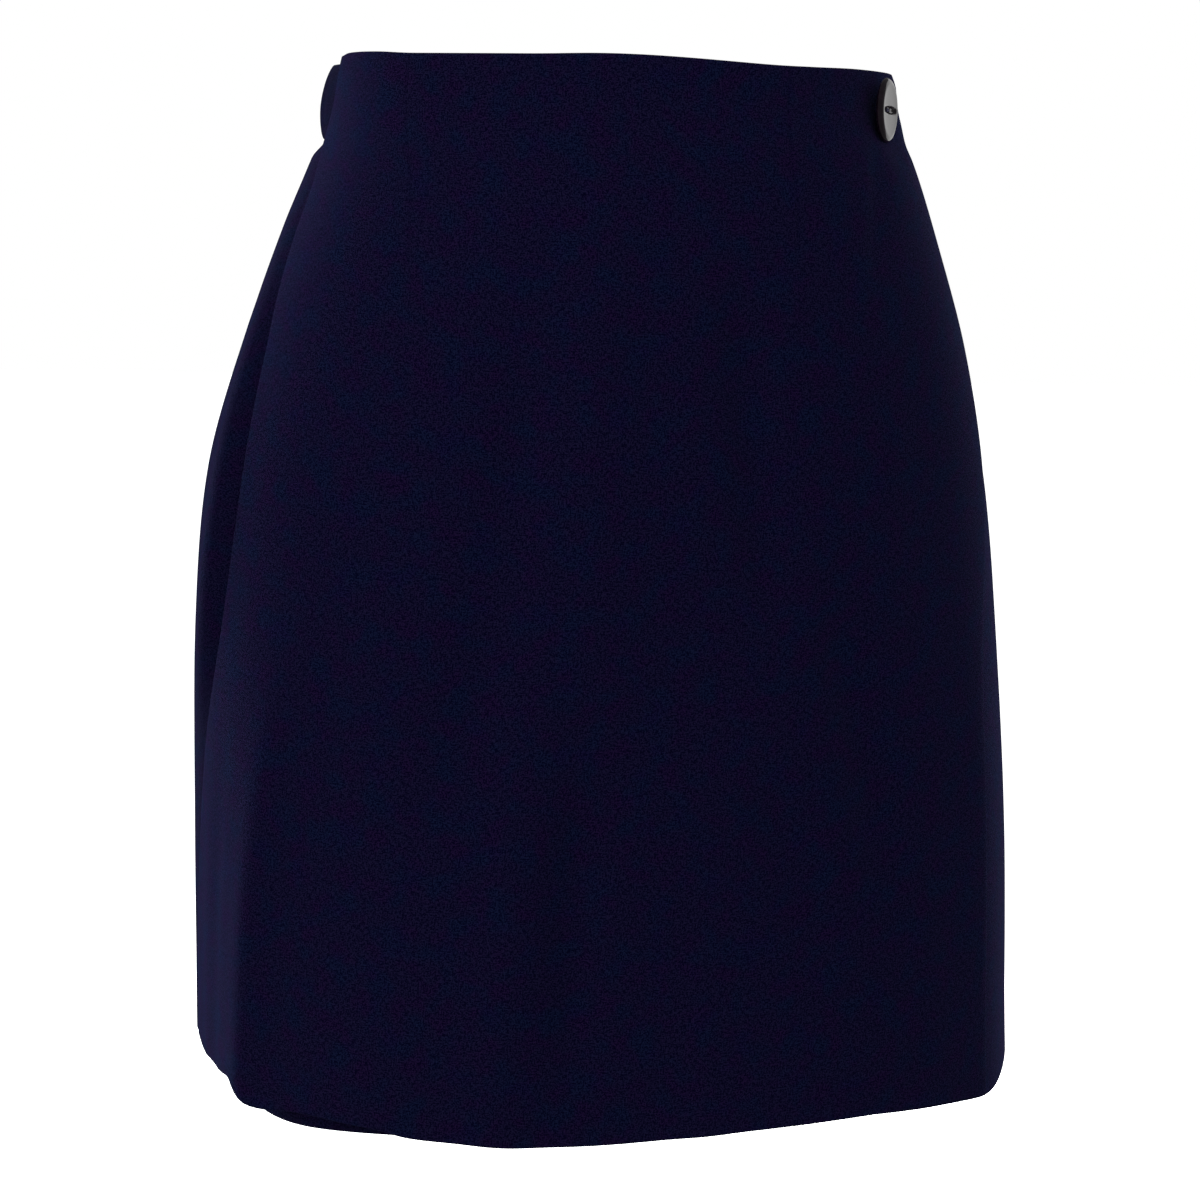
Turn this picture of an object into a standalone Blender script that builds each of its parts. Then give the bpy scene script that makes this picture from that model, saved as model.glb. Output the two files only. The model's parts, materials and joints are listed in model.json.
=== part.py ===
"""Wrap-front skort: wide shorts under a buttoned wrap panel, with a gathered elastic waistband behind.

The wearer faces -Y, the wearer's left is +X and +Z is up. The origin is the middle of the waist, halfway
up the waistband. Every cloth piece is an open sheet that follows the same waist-to-hem sections, given a
wall by Solidify. A bearing is a direction round the body in degrees: 0 is the centre front, +90 the
wearer's left side, -90 the right side and 180 the centre back. A drop is a distance below the top edge.
"""

from collections import namedtuple
from math import atan2, cos, degrees, exp, hypot, pi, radians, sin

import bmesh
import bpy
from mathutils import Matrix, Vector

MM = 0.001

# Driving dimensions, in metres and degrees
WAISTBAND_HEIGHT = 33 * MM
TOP = 17 * MM  # height of the top edge above the origin
LEG_HEM = 446 * MM
LEG_SIDE_HEM = 441 * MM
SIDE_HEM_SHARE = 0.22  # the part of each quarter where its hem rises to the side seam
FORK_START = 205 * MM  # drop where the centre seams begin to curve in
CROTCH = 288 * MM
LEFT_SEAM = 86.0
SEAM_GAP = 0.36 * MM

PANEL_WALL = 1.6 * MM
SHORTS_WALL = 1.2 * MM
CASING_WALL = 2.0 * MM
LAYER_GAP = 0.9 * MM  # between the panel and the shorts front where they are stitched together
COVER_FADE = 25.0  # degrees over which the panel lifts off the shorts, in from each of its edges
UNCOVER_FADE = 10.0  # degrees over which the shorts front swells to the outer form past the panel
TUCK_FADE = 7.0  # and the same for the backs, behind the right seam
POUCH_FRONT = 4.2  # degrees over which the back rises to its pouch behind the right seam
POUCH_BACK = 12.0  # and over which it settles again
FOLD_FADE = 0.35  # the part of a fold's length over which each end dies away

FRONT_TOP = 2.5 * MM  # drop of the shorts fronts' top edge, just inside the panel's
CASING_TOP = 4 * MM  # drop of the casing's top edge
CASING_END = 0.3  # degrees between the end of the casing and the side seam
CASING_PUFF = 2.8 * MM
CASING_FLAT_END = 0.6  # the puff at the side seams, as a part of the puff between them
CASING_END_SHARE = 0.1  # the part of its length over which each end flattens
CASING_ROUNDNESS = 0.6  # below 1 the puff is square across its height, and at 1 it is an arch
CASING_FLUTES = 22
FLUTE_DEPTH = 0.6 * MM

BACK_TOP = CASING_TOP + WAISTBAND_HEIGHT + SEAM_GAP
BAND_ROWS = 2
BODY_ROWS = 19
PANEL_COLUMNS = 34
FRONT_COLUMNS = 17
BACK_COLUMNS = 14
BACK_CROWDING = 1.4  # above 1 the columns of the backs crowd towards the side seams
CASING_COLUMNS = 66
CASING_ROWS = 4

CROTCH_SPLIT = 0.5 * MM  # half the space between the legs at the crotch
HEM_SPLIT = 8 * MM  # and at the hem
LEG_CORNER = 5.0  # a higher number squares the inner corners of the legs
BISECTIONS = 36

BUTTON_DIAMETER = 27.5 * MM
BUTTON_THICKNESS = 3.6 * MM
BUTTON_BEARING = 64.0
BUTTON_DROP = 16 * MM
BUTTON_LIFT = 1.2 * MM
EYE_LENGTH = 12 * MM
EYE_HEIGHT = 4.4 * MM
EYE_DEPTH = 1.3 * MM
HOLE_DIAMETER = 1.9 * MM
HOLE_SPACING = 5 * MM
BUTTON_STEPS = 40
TANGENT_BEARING = 2.0  # the button lies on the plane of points this far to each side of it
TANGENT_DROP = 12 * MM  # and this far above and below

# Half of the button's outline, as parts of its radius and of its thickness, from its face round to its back
Turn = namedtuple("Turn", "along up")
BUTTON_PROFILE = (
    Turn(0, 0.72),
    Turn(0.62, 0.76),
    Turn(0.82, 0.92),
    Turn(0.90, 1.00),
    Turn(0.96, 0.93),
    Turn(1.00, 0.62),
    Turn(0.98, 0.38),
    Turn(0.88, 0.14),
    Turn(0.62, 0),
    Turn(0, 0),
)

# The outer form from waist to hem: half-width, sideways shift, depth of the front and of the back
# from the side line, and how square the section is, 2 being an ellipse.
Section = namedtuple("Section", "drop half_width shift front back square")
SECTIONS = (
    Section(0 * MM, 123.8 * MM, -2.2 * MM, 91 * MM, 89 * MM, 2.10),
    Section(20 * MM, 126.0 * MM, -1.4 * MM, 94 * MM, 94 * MM, 2.12),
    Section(38 * MM, 132.4 * MM, 1.6 * MM, 98 * MM, 100 * MM, 2.13),
    Section(75 * MM, 146.4 * MM, 1.0 * MM, 105 * MM, 111 * MM, 2.18),
    Section(120 * MM, 161.6 * MM, 0.5 * MM, 111 * MM, 121 * MM, 2.22),
    Section(180 * MM, 176.4 * MM, -0.8 * MM, 117 * MM, 128 * MM, 2.28),
    Section(250 * MM, 182.2 * MM, 0.0 * MM, 123 * MM, 130 * MM, 2.40),
    Section(340 * MM, 184.5 * MM, 3.2 * MM, 131 * MM, 131 * MM, 2.60),
    Section(448 * MM, 184.8 * MM, 5.5 * MM, 138 * MM, 132 * MM, 2.80),
)

# The panel's sewn edge, which is the right side seam, and its free edge on the left
Edge = namedtuple("Edge", "drop sewn free")
PANEL_EDGES = (
    Edge(0 * MM, -82.0, 76.0),
    Edge(40 * MM, -82.4, 75.5),
    Edge(80 * MM, -81.5, 75.0),
    Edge(130 * MM, -77.5, 74.0),
    Edge(190 * MM, -75.0, 70.0),
    Edge(250 * MM, -77.0, 63.5),
    Edge(310 * MM, -83.0, 59.5),
    Edge(375 * MM, -90.0, 57.0),
    Edge(448 * MM, -93.0, 55.3),
)

# The drop of the panel's top edge and of its hem, round the body
EdgePoint = namedtuple("EdgePoint", "bearing drop")
PANEL_TOP_LINE = (
    EdgePoint(-82.0, 1.2 * MM),
    EdgePoint(-60.0, 1.0 * MM),
    EdgePoint(-35.0, 1.2 * MM),
    EdgePoint(-5.0, 0.0 * MM),
    EdgePoint(30.0, 0.8 * MM),
    EdgePoint(76.0, 1.6 * MM),
)
PANEL_HEM_LINE = (
    EdgePoint(-93.0, 439.0 * MM),
    EdgePoint(-80.0, 435.5 * MM),
    EdgePoint(-72.0, 435.5 * MM),
    EdgePoint(-66.0, 442.5 * MM),
    EdgePoint(-52.0, 443.0 * MM),
    EdgePoint(-28.0, 446.0 * MM),
    EdgePoint(-8.0, 445.5 * MM),
    EdgePoint(20.0, 443.0 * MM),
    EdgePoint(40.0, 443.0 * MM),
    EdgePoint(55.3, 446.0 * MM),
)

# The largest folds of the panel, each a soft ridge (+) or trough (-) along a path of three bearings. It
# falls away over its right spread on the side of the wearer's right and over its left one on the other.
Fold = namedtuple("Fold", "start end high middle low right left rise")
PANEL_FOLDS = (
    Fold(60 * MM, 350 * MM, -31.0, -32.0, -43.0, 6.0, 6.0, -2.2 * MM),
    Fold(70 * MM, 250 * MM, 14.0, 17.5, 22.5, 5.0, 5.0, -2.8 * MM),
    Fold(200 * MM, 370 * MM, 31.0, 37.0, 38.0, 4.5, 4.5, -2.4 * MM),
    Fold(280 * MM, 440 * MM, -15.5, -18.5, -16.0, 4.5, 4.5, -2.6 * MM),
    Fold(285 * MM, 385 * MM, 17.0, 22.5, 28.5, 6.0, 6.0, -1.6 * MM),
    Fold(30 * MM, 300 * MM, -18.0, -14.5, -13.0, 7.0, 7.0, 1.6 * MM),
    Fold(210 * MM, 620 * MM, -22.5, -28.5, -27.0, 5.5, 5.5, 3.0 * MM),
    Fold(230 * MM, 640 * MM, -64.6, -67.4, -67.4, 8.0, 4.0, 7.0 * MM),
)

# Soft folds of the backs, which the gathered waistband lets out
BACK_FOLDS = (
    Fold(25 * MM, 210 * MM, 112.0, 110.0, 107.0, 5.0, 5.0, 1.8 * MM),
    Fold(25 * MM, 260 * MM, 131.0, 133.0, 138.0, 6.0, 6.0, -2.0 * MM),
    Fold(25 * MM, 190 * MM, 152.0, 150.0, 147.0, 5.0, 5.0, 1.6 * MM),
    Fold(25 * MM, 180 * MM, 208.0, 209.0, 211.0, 5.0, 5.0, 1.7 * MM),
    Fold(25 * MM, 250 * MM, 229.0, 226.0, 221.0, 6.0, 6.0, -2.1 * MM),
    Fold(25 * MM, 200 * MM, 249.0, 251.0, 252.0, 5.0, 5.0, 1.5 * MM),
)

# How far the back pouches out just behind the right seam
Pouch = namedtuple("Pouch", "drop height")
BACK_POUCH = (
    Pouch(45 * MM, 0.0 * MM),
    Pouch(76 * MM, 2.0 * MM),
    Pouch(98 * MM, 3.2 * MM),
    Pouch(126 * MM, 5.8 * MM),
    Pouch(160 * MM, 7.6 * MM),
    Pouch(212 * MM, 8.0 * MM),
    Pouch(240 * MM, 6.8 * MM),
    Pouch(274 * MM, 4.0 * MM),
    Pouch(300 * MM, 2.0 * MM),
    Pouch(340 * MM, 0.6 * MM),
    Pouch(400 * MM, 0.0 * MM),
    Pouch(448 * MM, 0.0 * MM),
)

# Space between the shorts front and the panel that hangs over it
Hang = namedtuple("Hang", "drop space")
PANEL_HANG = (
    Hang(0 * MM, 0.0 * MM),
    Hang(60 * MM, 0.4 * MM),
    Hang(150 * MM, 2.6 * MM),
    Hang(250 * MM, 5.0 * MM),
    Hang(350 * MM, 7.5 * MM),
    Hang(448 * MM, 9.0 * MM),
)

Paint = namedtuple("Paint", "colour roughness metallic")
CLOTH_PAINT = Paint((0.006, 0.005, 0.022), 0.85, 0.0)
CASING_PAINT = Paint((0.007, 0.006, 0.024), 0.85, 0.0)
BUTTON_PAINT = Paint((0.008, 0.006, 0.008), 0.12, 0.0)


def smoothstep(value):
    value = min(max(value, 0.0), 1.0)
    return value * value * (3 - 2 * value)


def column_at(rows, key, name, where):
    """A column of a table at a place between its rows, by cubic curves through every row."""
    keys = [getattr(row, key) for row in rows]
    values = [getattr(row, name) for row in rows]
    where = min(max(where, keys[0]), keys[-1])
    slopes = []
    for index in range(len(rows)):
        before = max(index - 1, 0)
        after = min(index + 1, len(rows) - 1)
        slopes.append((values[after] - values[before]) / (keys[after] - keys[before]))
    index = max(i for i in range(len(rows) - 1) if keys[i] <= where)
    span = keys[index + 1] - keys[index]
    t = (where - keys[index]) / span
    return (
        values[index] * (1 - 3 * t**2 + 2 * t**3)
        + values[index + 1] * (3 * t**2 - 2 * t**3)
        + span * slopes[index] * (t - 2 * t**2 + t**3)
        + span * slopes[index + 1] * (t**3 - t**2)
    )


def section_at(drop):
    return Section(drop, *(column_at(SECTIONS, "drop", name, drop) for name in Section._fields[1:]))


def reach(section, bearing):
    """Distance from the section's middle to the outer form in this direction."""
    side, ahead = sin(radians(bearing)), cos(radians(bearing))
    depth = section.front if ahead > 0 else section.back
    power = section.square
    return (abs(side / section.half_width) ** power + abs(ahead / depth) ** power) ** (-1 / power)


def place(section, bearing, distance):
    return Vector(
        (
            section.shift + distance * sin(radians(bearing)),
            -distance * cos(radians(bearing)),
            TOP - section.drop,
        )
    )


def fold_rise(folds, bearing, drop):
    """How far these folds push the cloth out at this place."""
    total = 0.0
    for fold in folds:
        along = (drop - fold.start) / (fold.end - fold.start)
        if not 0 < along < 1:
            continue
        centre = (
            fold.high * (1 - along) * (1 - 2 * along)
            + fold.middle * 4 * along * (1 - along)
            + fold.low * along * (2 * along - 1)
        )
        fade = smoothstep(along / FOLD_FADE) * smoothstep((1 - along) / FOLD_FADE)
        off = bearing - centre
        spread = fold.right if off < 0 else fold.left
        total += fold.rise * fade * exp(-((off / spread) ** 2))
    return total


def panel_edge(name, drop):
    return column_at(PANEL_EDGES, "drop", name, drop)


def cover_depth(bearing, drop):
    """How far the shorts front lies inside the outer form, under the panel that covers it."""
    against = PANEL_WALL + LAYER_GAP
    free = panel_edge("free", drop)
    sewn = panel_edge("sewn", drop)
    loose = smoothstep((bearing - sewn) / COVER_FADE) * smoothstep((free - bearing) / COVER_FADE)
    hang = column_at(PANEL_HANG, "drop", "space", drop)
    trough = min(fold_rise(PANEL_FOLDS, bearing, drop), 0)
    return (against + hang * loose - trough) * (1 - smoothstep((bearing - free) / UNCOVER_FADE))


def back_tuck(bearing, drop):
    """The backs lie level with the shorts front at the right seam, and swell to the outer form behind it."""
    behind = (panel_edge("sewn", drop) - bearing) % 360
    return (PANEL_WALL + LAYER_GAP) * (1 - smoothstep(behind / TUCK_FADE))


def back_pouch(bearing, drop):
    """Behind the right seam the back pouches out past the panel's edge, and settles to the outer form."""
    behind = (panel_edge("sewn", drop) - bearing) % 360
    settled = min(max((behind - 0.8 * POUCH_FRONT) / POUCH_BACK, 0), 1)
    height = max(column_at(BACK_POUCH, "drop", "height", drop), 0)
    return height * smoothstep(behind / POUCH_FRONT) * (1 - settled) ** 1.8


def shorts_reach(section, bearing):
    """Distance from the section's middle to the shorts, front or back."""
    round_front = (bearing + 180) % 360 - 180
    distance = reach(section, bearing)
    if panel_edge("sewn", section.drop) <= round_front <= LEFT_SEAM:
        return distance - cover_depth(round_front, section.drop)
    folds = fold_rise(BACK_FOLDS, bearing % 360, section.drop) + back_pouch(bearing, section.drop)
    return distance - back_tuck(bearing, section.drop) + folds


def leg_point(section, side, local_bearing):
    """A point of one leg, at a bearing about the leg's middle, inside the outer form and off the other leg."""
    down = smoothstep((section.drop - CROTCH) / (LEG_HEM - CROTCH))
    split = CROTCH_SPLIT + (HEM_SPLIT - CROTCH_SPLIT) * down
    middle = Vector((section.shift / 2 + side * section.half_width / 2, 0, 0))
    heading = Vector((sin(radians(local_bearing)), -cos(radians(local_bearing)), 0))
    near, far = 0.0, 2 * section.half_width
    for _ in range(BISECTIONS):
        distance = (near + far) / 2
        point = middle + heading * distance
        bearing = degrees(atan2(point.x - section.shift, -point.y))
        if hypot(point.x - section.shift, point.y) < shorts_reach(section, bearing):
            near = distance
        else:
            far = distance
    inward = -side * heading.x
    if inward > 0:
        to_inner_leg = (side * middle.x - split) / inward
        near = (near**-LEG_CORNER + to_inner_leg**-LEG_CORNER) ** (-1 / LEG_CORNER)
    point = middle + heading * near
    return Vector((point.x, point.y, TOP - section.drop))


def shorts_point(side, from_seam, seam, end, drop):
    """A point of a shorts quarter: from_seam runs from 0 at the side seam to 1 at the centre seam or inseam.

    Above the fork the quarter follows the body. Below the crotch it goes round its leg.
    """
    section = section_at(drop)
    bearing = seam + (end - seam) * from_seam
    on_body = place(section, bearing, shorts_reach(section, bearing))
    split = smoothstep((drop - FORK_START) / (CROTCH - FORK_START))
    if split == 0:
        return on_body
    at_seam = place(section, seam, shorts_reach(section, seam))
    middle_x = section.shift / 2 + side * section.half_width / 2
    local_seam = degrees(atan2(at_seam.x - middle_x, -at_seam.y))
    local_end = side * (-90 if end == 0 else 270)
    on_leg = leg_point(section, side, local_seam + (local_end - local_seam) * from_seam)
    return on_body.lerp(on_leg, split)


def leg_hem(from_seam):
    """The legs are a little shorter at the side."""
    return LEG_SIDE_HEM + (LEG_HEM - LEG_SIDE_HEM) * smoothstep(from_seam / SIDE_HEM_SHARE)


def row_drop(v, top, hem):
    """The drop of a row, v being 1 at the top and 0 at the hem. All pieces have their rows at the same drops."""
    if top >= BACK_TOP:
        return top + (hem - top) * (1 - v)
    row = (1 - v) * (BAND_ROWS + BODY_ROWS)
    if row < BAND_ROWS:
        return top + (BACK_TOP - top) * row / BAND_ROWS
    return BACK_TOP + (hem - BACK_TOP) * (row - BAND_ROWS) / BODY_ROWS


def shorts_quarter(side, top, seam_at, end):
    """The function that places a quarter's points: u grows with the bearing, and v from hem to top."""

    def point(u, v):
        from_seam = u if (end == 0) == (side < 0) else 1 - u
        if end != 0:
            from_seam **= BACK_CROWDING
        drop = row_drop(v, top, leg_hem(from_seam))
        return shorts_point(side, from_seam, seam_at(drop), end, drop)

    return point


def panel_face(bearing, drop):
    """A point of the panel's outer side."""
    section = section_at(drop)
    return place(section, bearing, reach(section, bearing) + fold_rise(PANEL_FOLDS, bearing, drop))


def panel_point(u, v):
    high_sewn, low_sewn = panel_edge("sewn", 0), panel_edge("sewn", LEG_HEM)
    high_bearing = high_sewn + (panel_edge("free", 0) - high_sewn) * u
    low_bearing = low_sewn + (panel_edge("free", LEG_HEM) - low_sewn) * u
    top = column_at(PANEL_TOP_LINE, "bearing", "drop", high_bearing)
    drop = row_drop(v, top, column_at(PANEL_HEM_LINE, "bearing", "drop", low_bearing))
    sewn = panel_edge("sewn", drop)
    return panel_face(sewn + (panel_edge("free", drop) - sewn) * u, drop)


def casing_point(u, v):
    drop = CASING_TOP + WAISTBAND_HEIGHT * (1 - v)
    start = LEFT_SEAM + CASING_END
    end = 360 + panel_edge("sewn", drop) - CASING_END
    bearing = start + (end - start) * u
    section = section_at(drop)
    fullness = smoothstep(min(u, 1 - u) / CASING_END_SHARE)
    puff = CASING_PUFF * (CASING_FLAT_END + (1 - CASING_FLAT_END) * fullness)
    puff *= sin(pi * v) ** CASING_ROUNDNESS
    flute = FLUTE_DEPTH * sin(2 * pi * CASING_FLUTES * u) * sin(pi * v)
    return place(section, bearing, reach(section, bearing) + puff + flute)


def paint(name, look):
    material = bpy.data.materials.new(name)
    material.use_nodes = True
    shader = material.node_tree.nodes["Principled BSDF"]
    shader.inputs["Base Color"].default_value = (*look.colour, 1)
    shader.inputs["Roughness"].default_value = look.roughness
    shader.inputs["Metallic"].default_value = look.metallic
    return material


def add_mesh_object(name, mesh_maker, material, collection):
    """An object whose mesh is made by the function given, on an empty bmesh."""
    shape = bmesh.new()
    mesh_maker(shape)
    mesh = bpy.data.meshes.new(name)
    shape.to_mesh(mesh)
    shape.free()
    mesh.materials.append(material)
    mesh.shade_smooth()
    piece = bpy.data.objects.new(name, mesh)
    collection.objects.link(piece)
    return piece


def add_cloth(name, point_at, grid, wall, nudge, material, collection):
    """A sheet of cloth through the points of a function of u and v, with a wall on its inner side."""
    columns, rows = grid

    def sheet(shape):
        bmesh.ops.create_grid(shape, x_segments=columns, y_segments=rows, size=1)
        for vertex in shape.verts:
            u, v = (vertex.co.x + 1) / 2, (vertex.co.y + 1) / 2
            vertex.co = point_at(min(max(u, 0), 1), min(max(v, 0), 1)) + nudge

    piece = add_mesh_object(name, sheet, material, collection)
    solidify = piece.modifiers.new("Wall", "SOLIDIFY")
    solidify.thickness = wall
    solidify.offset = -1
    solidify.use_even_offset = True
    return piece


def add_cutter(name, mesh_maker, material, collection):
    cutter = add_mesh_object(name, mesh_maker, material, collection)
    cutter.hide_render = True
    cutter.display_type = "WIRE"
    return cutter


def build_button(material, collection, cutters):
    """A turned disc with a raised rim, an almond-shaped eye sunk in its face, and two holes in the eye."""

    def turned(shape):
        radius = BUTTON_DIAMETER / 2
        corners = [
            shape.verts.new((radius * turn.along, 0, BUTTON_THICKNESS * turn.up))
            for turn in BUTTON_PROFILE
        ]
        for first, second in zip(corners, corners[1:]):
            shape.edges.new((first, second))

    button = add_mesh_object("button", turned, material, collection)
    screw = button.modifiers.new("Turn", "SCREW")
    screw.steps = screw.render_steps = BUTTON_STEPS
    screw.use_merge_vertices = True
    screw.merge_threshold = 1e-5
    screw.use_smooth_shade = True

    def eye(shape):
        bmesh.ops.create_uvsphere(shape, u_segments=28, v_segments=14, radius=1)
        bmesh.ops.scale(
            shape, vec=(EYE_LENGTH / 2, EYE_HEIGHT / 2, EYE_DEPTH), verts=shape.verts
        )
        face = BUTTON_THICKNESS * BUTTON_PROFILE[0].up
        bmesh.ops.translate(shape, vec=(0, 0, face), verts=shape.verts)

    def hole_at(along):
        def hole(shape):
            bmesh.ops.create_cone(
                shape,
                cap_ends=True,
                segments=16,
                radius1=HOLE_DIAMETER / 2,
                radius2=HOLE_DIAMETER / 2,
                depth=3 * BUTTON_THICKNESS,
            )
            bmesh.ops.translate(shape, vec=(along, 0, 0), verts=shape.verts)

        return hole

    tools = {
        "button_eye_cutter": eye,
        "button_hole_cutter_1": hole_at(-HOLE_SPACING / 2),
        "button_hole_cutter_2": hole_at(HOLE_SPACING / 2),
    }
    for name, maker in tools.items():
        cut = button.modifiers.new(name, "BOOLEAN")
        cut.operation = "DIFFERENCE"
        cut.object = add_cutter(name, maker, material, cutters)
        cut.object.parent = button

    ahead = panel_face(BUTTON_BEARING + TANGENT_BEARING, BUTTON_DROP)
    behind = panel_face(BUTTON_BEARING - TANGENT_BEARING, BUTTON_DROP)
    above = panel_face(BUTTON_BEARING, BUTTON_DROP - TANGENT_DROP)
    below = panel_face(BUTTON_BEARING, BUTTON_DROP + TANGENT_DROP)
    along, up = ahead - behind, above - below
    outward = along.cross(up).normalized()
    up = outward.cross(along).normalized()
    frame = Matrix((along.normalized(), up, outward)).transposed().to_4x4()
    seat = panel_face(BUTTON_BEARING, BUTTON_DROP) + outward * BUTTON_LIFT
    button.matrix_world = Matrix.Translation(seat) @ frame
    return button


def main():
    for item in list(bpy.data.objects):
        bpy.data.objects.remove(item, do_unlink=True)
    skort = bpy.data.collections.new("wrap_front_skort")
    cutters = bpy.data.collections.new("cutters")
    bpy.context.scene.collection.children.link(skort)
    bpy.context.scene.collection.children.link(cutters)

    cloth = paint("navy_suiting", CLOTH_PAINT)
    casing = paint("navy_suiting_gathered", CASING_PAINT)
    dark_gloss = paint("dark_button", BUTTON_PAINT)

    half_gap = SEAM_GAP / 2
    forwards = Vector((0, -half_gap, 0))
    backwards = Vector((0, half_gap, 0))
    rows = BAND_ROWS + BODY_ROWS

    def right_seam_at(drop):
        return panel_edge("sewn", drop)

    def left_seam_at(drop):
        return LEFT_SEAM

    Quarter = namedtuple("Quarter", "name side top seam_at end nudge columns rows")
    quarters = (
        Quarter("shorts_front_right", -1, FRONT_TOP, right_seam_at, 0, forwards, FRONT_COLUMNS, rows),
        Quarter("shorts_front_left", 1, FRONT_TOP, left_seam_at, 0, forwards, FRONT_COLUMNS, rows),
        Quarter("shorts_back_right", -1, BACK_TOP, right_seam_at, -180, backwards, BACK_COLUMNS, BODY_ROWS),
        Quarter("shorts_back_left", 1, BACK_TOP, left_seam_at, 180, backwards, BACK_COLUMNS, BODY_ROWS),
    )
    for quarter in quarters:
        point_at = shorts_quarter(quarter.side, quarter.top, quarter.seam_at, quarter.end)
        nudge = quarter.nudge + Vector((quarter.side * half_gap, 0, 0))
        grid = (quarter.columns, quarter.rows)
        add_cloth(quarter.name, point_at, grid, SHORTS_WALL, nudge, cloth, skort)
    add_cloth("front_wrap_panel", panel_point, (PANEL_COLUMNS, rows), PANEL_WALL, forwards, cloth, skort)
    casing_grid = (CASING_COLUMNS, CASING_ROWS)
    add_cloth("back_waistband", casing_point, casing_grid, CASING_WALL, backwards, casing, skort)
    build_button(dark_gloss, skort, cutters)


main()
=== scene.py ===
"""The looks of a wrap-front skort, laid out as an add-on: one operator for each piece and one for the stage.

The wearer faces -Y, the wearer's left is +X and +Z is up. A bearing is a direction round the body in
degrees, 0 at the centre front, +90 at the left side and 180 at the centre back. A drop is a distance
below the top edge. Every cloth piece is a fine sheet laid on the same waist-to-hem sections as its solid,
with its edges turned under, its folds pushed in or out, and a flat UV map in metres for its weave.
"""

import json
from collections import namedtuple
from math import cos, pi, radians, sin

import bmesh
import bpy
import numpy as np
from bpy.props import FloatProperty, FloatVectorProperty, IntProperty, PointerProperty
from mathutils import Matrix, Vector


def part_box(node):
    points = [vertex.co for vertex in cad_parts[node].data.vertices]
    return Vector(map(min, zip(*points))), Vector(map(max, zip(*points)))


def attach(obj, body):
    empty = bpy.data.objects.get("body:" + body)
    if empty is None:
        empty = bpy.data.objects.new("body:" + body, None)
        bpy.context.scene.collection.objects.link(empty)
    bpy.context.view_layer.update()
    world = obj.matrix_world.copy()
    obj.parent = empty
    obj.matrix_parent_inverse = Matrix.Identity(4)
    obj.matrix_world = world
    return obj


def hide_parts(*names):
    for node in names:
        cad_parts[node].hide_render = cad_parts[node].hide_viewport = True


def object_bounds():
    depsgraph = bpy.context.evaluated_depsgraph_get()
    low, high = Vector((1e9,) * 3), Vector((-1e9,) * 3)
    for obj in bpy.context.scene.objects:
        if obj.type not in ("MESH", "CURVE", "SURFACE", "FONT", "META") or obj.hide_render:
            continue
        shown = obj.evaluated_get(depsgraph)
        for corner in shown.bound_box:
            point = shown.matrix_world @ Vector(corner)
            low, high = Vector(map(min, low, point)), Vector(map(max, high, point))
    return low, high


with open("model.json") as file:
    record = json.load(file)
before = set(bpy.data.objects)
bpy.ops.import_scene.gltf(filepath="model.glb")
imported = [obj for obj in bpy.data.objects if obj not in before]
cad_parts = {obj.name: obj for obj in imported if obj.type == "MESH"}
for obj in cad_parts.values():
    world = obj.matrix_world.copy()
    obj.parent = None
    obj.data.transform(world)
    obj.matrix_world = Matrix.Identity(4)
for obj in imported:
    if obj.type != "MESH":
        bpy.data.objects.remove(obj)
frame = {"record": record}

cad_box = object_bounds()

bl_info = {
    "name": "Wrap-front skort",
    "version": (1, 0, 0),
    "blender": (4, 5, 0),
    "location": "3D View > Sidebar > Skort",
    "description": "Sews the pieces of a wrap-front skort on their solids, and sets a studio round them",
    "category": "Object",
}

MM = 0.001
BODY = "root"
CLOTH_MAP = "Cloth"
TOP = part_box("front_wrap_panel")[1].z

# The drops of the edges, the left seam's bearing, and how far the cloths press together at their seams
FRONT_TOP = 2.5 * MM
CASING_TOP = 4 * MM
WAISTBAND_HEIGHT = 33 * MM
LEG_HEM = 446.6 * MM
LEFT_SEAM = 86.0
SEAM_PRESS = 0.4 * MM
BACK_TOP = CASING_TOP + WAISTBAND_HEIGHT - SEAM_PRESS

# The panel's wall in its solid, the gap under it, the degrees from its edges over which it comes to hang
# free, and those over which the shorts front past its free edge comes out to the outer form
PANEL_WALL = 1.6 * MM
LAYER_GAP = 0.9 * MM
COVER_FADE = 25.0
UNCOVER_FADE = 18.0

# The backs behind the right seam, in degrees: how far they take to rise to the outer form, how far their
# pouch takes to fill, where it begins to settle, and how far and how fast it settles
TUCK_FADE = 7.0
POUCH_FRONT = 4.2
POUCH_CREST = 0.8 * POUCH_FRONT
POUCH_BACK = 12.0
POUCH_FALL = 1.8

# The tops of the backs: how far they go up inside the casing, their raw edge, how they are drawn in to its
# seam, and how they lie deeper inside it
BACK_LAP = 6 * MM
RAW_EDGE = 1.5 * MM
RAW_RADIUS = 0.5 * MM
BACK_DIP_LENGTH = 8 * MM
EDGE_DIP = 3.0 * MM
INSIDE_CASING = 2.2 * MM
INSIDE_START = 2.5 * MM
INSIDE_LENGTH = 3 * MM

# The gathers below the waistband: their height, how far down they run and how fast they fall away, the part
# of their height that the seam leaves them, how far below it they have it all, the share of the way round
# over which they fade at the ends, and the shape of their crests
GATHER_RISE = 1.7 * MM
GATHER_LENGTH = 95 * MM
GATHER_FALL = 1.7
GATHER_HELD = 0.45
GATHER_FREED = 14 * MM
GATHER_FADE = 0.1
CREST_POWER = 0.6
CREST_LEVEL = 1.3

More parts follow.
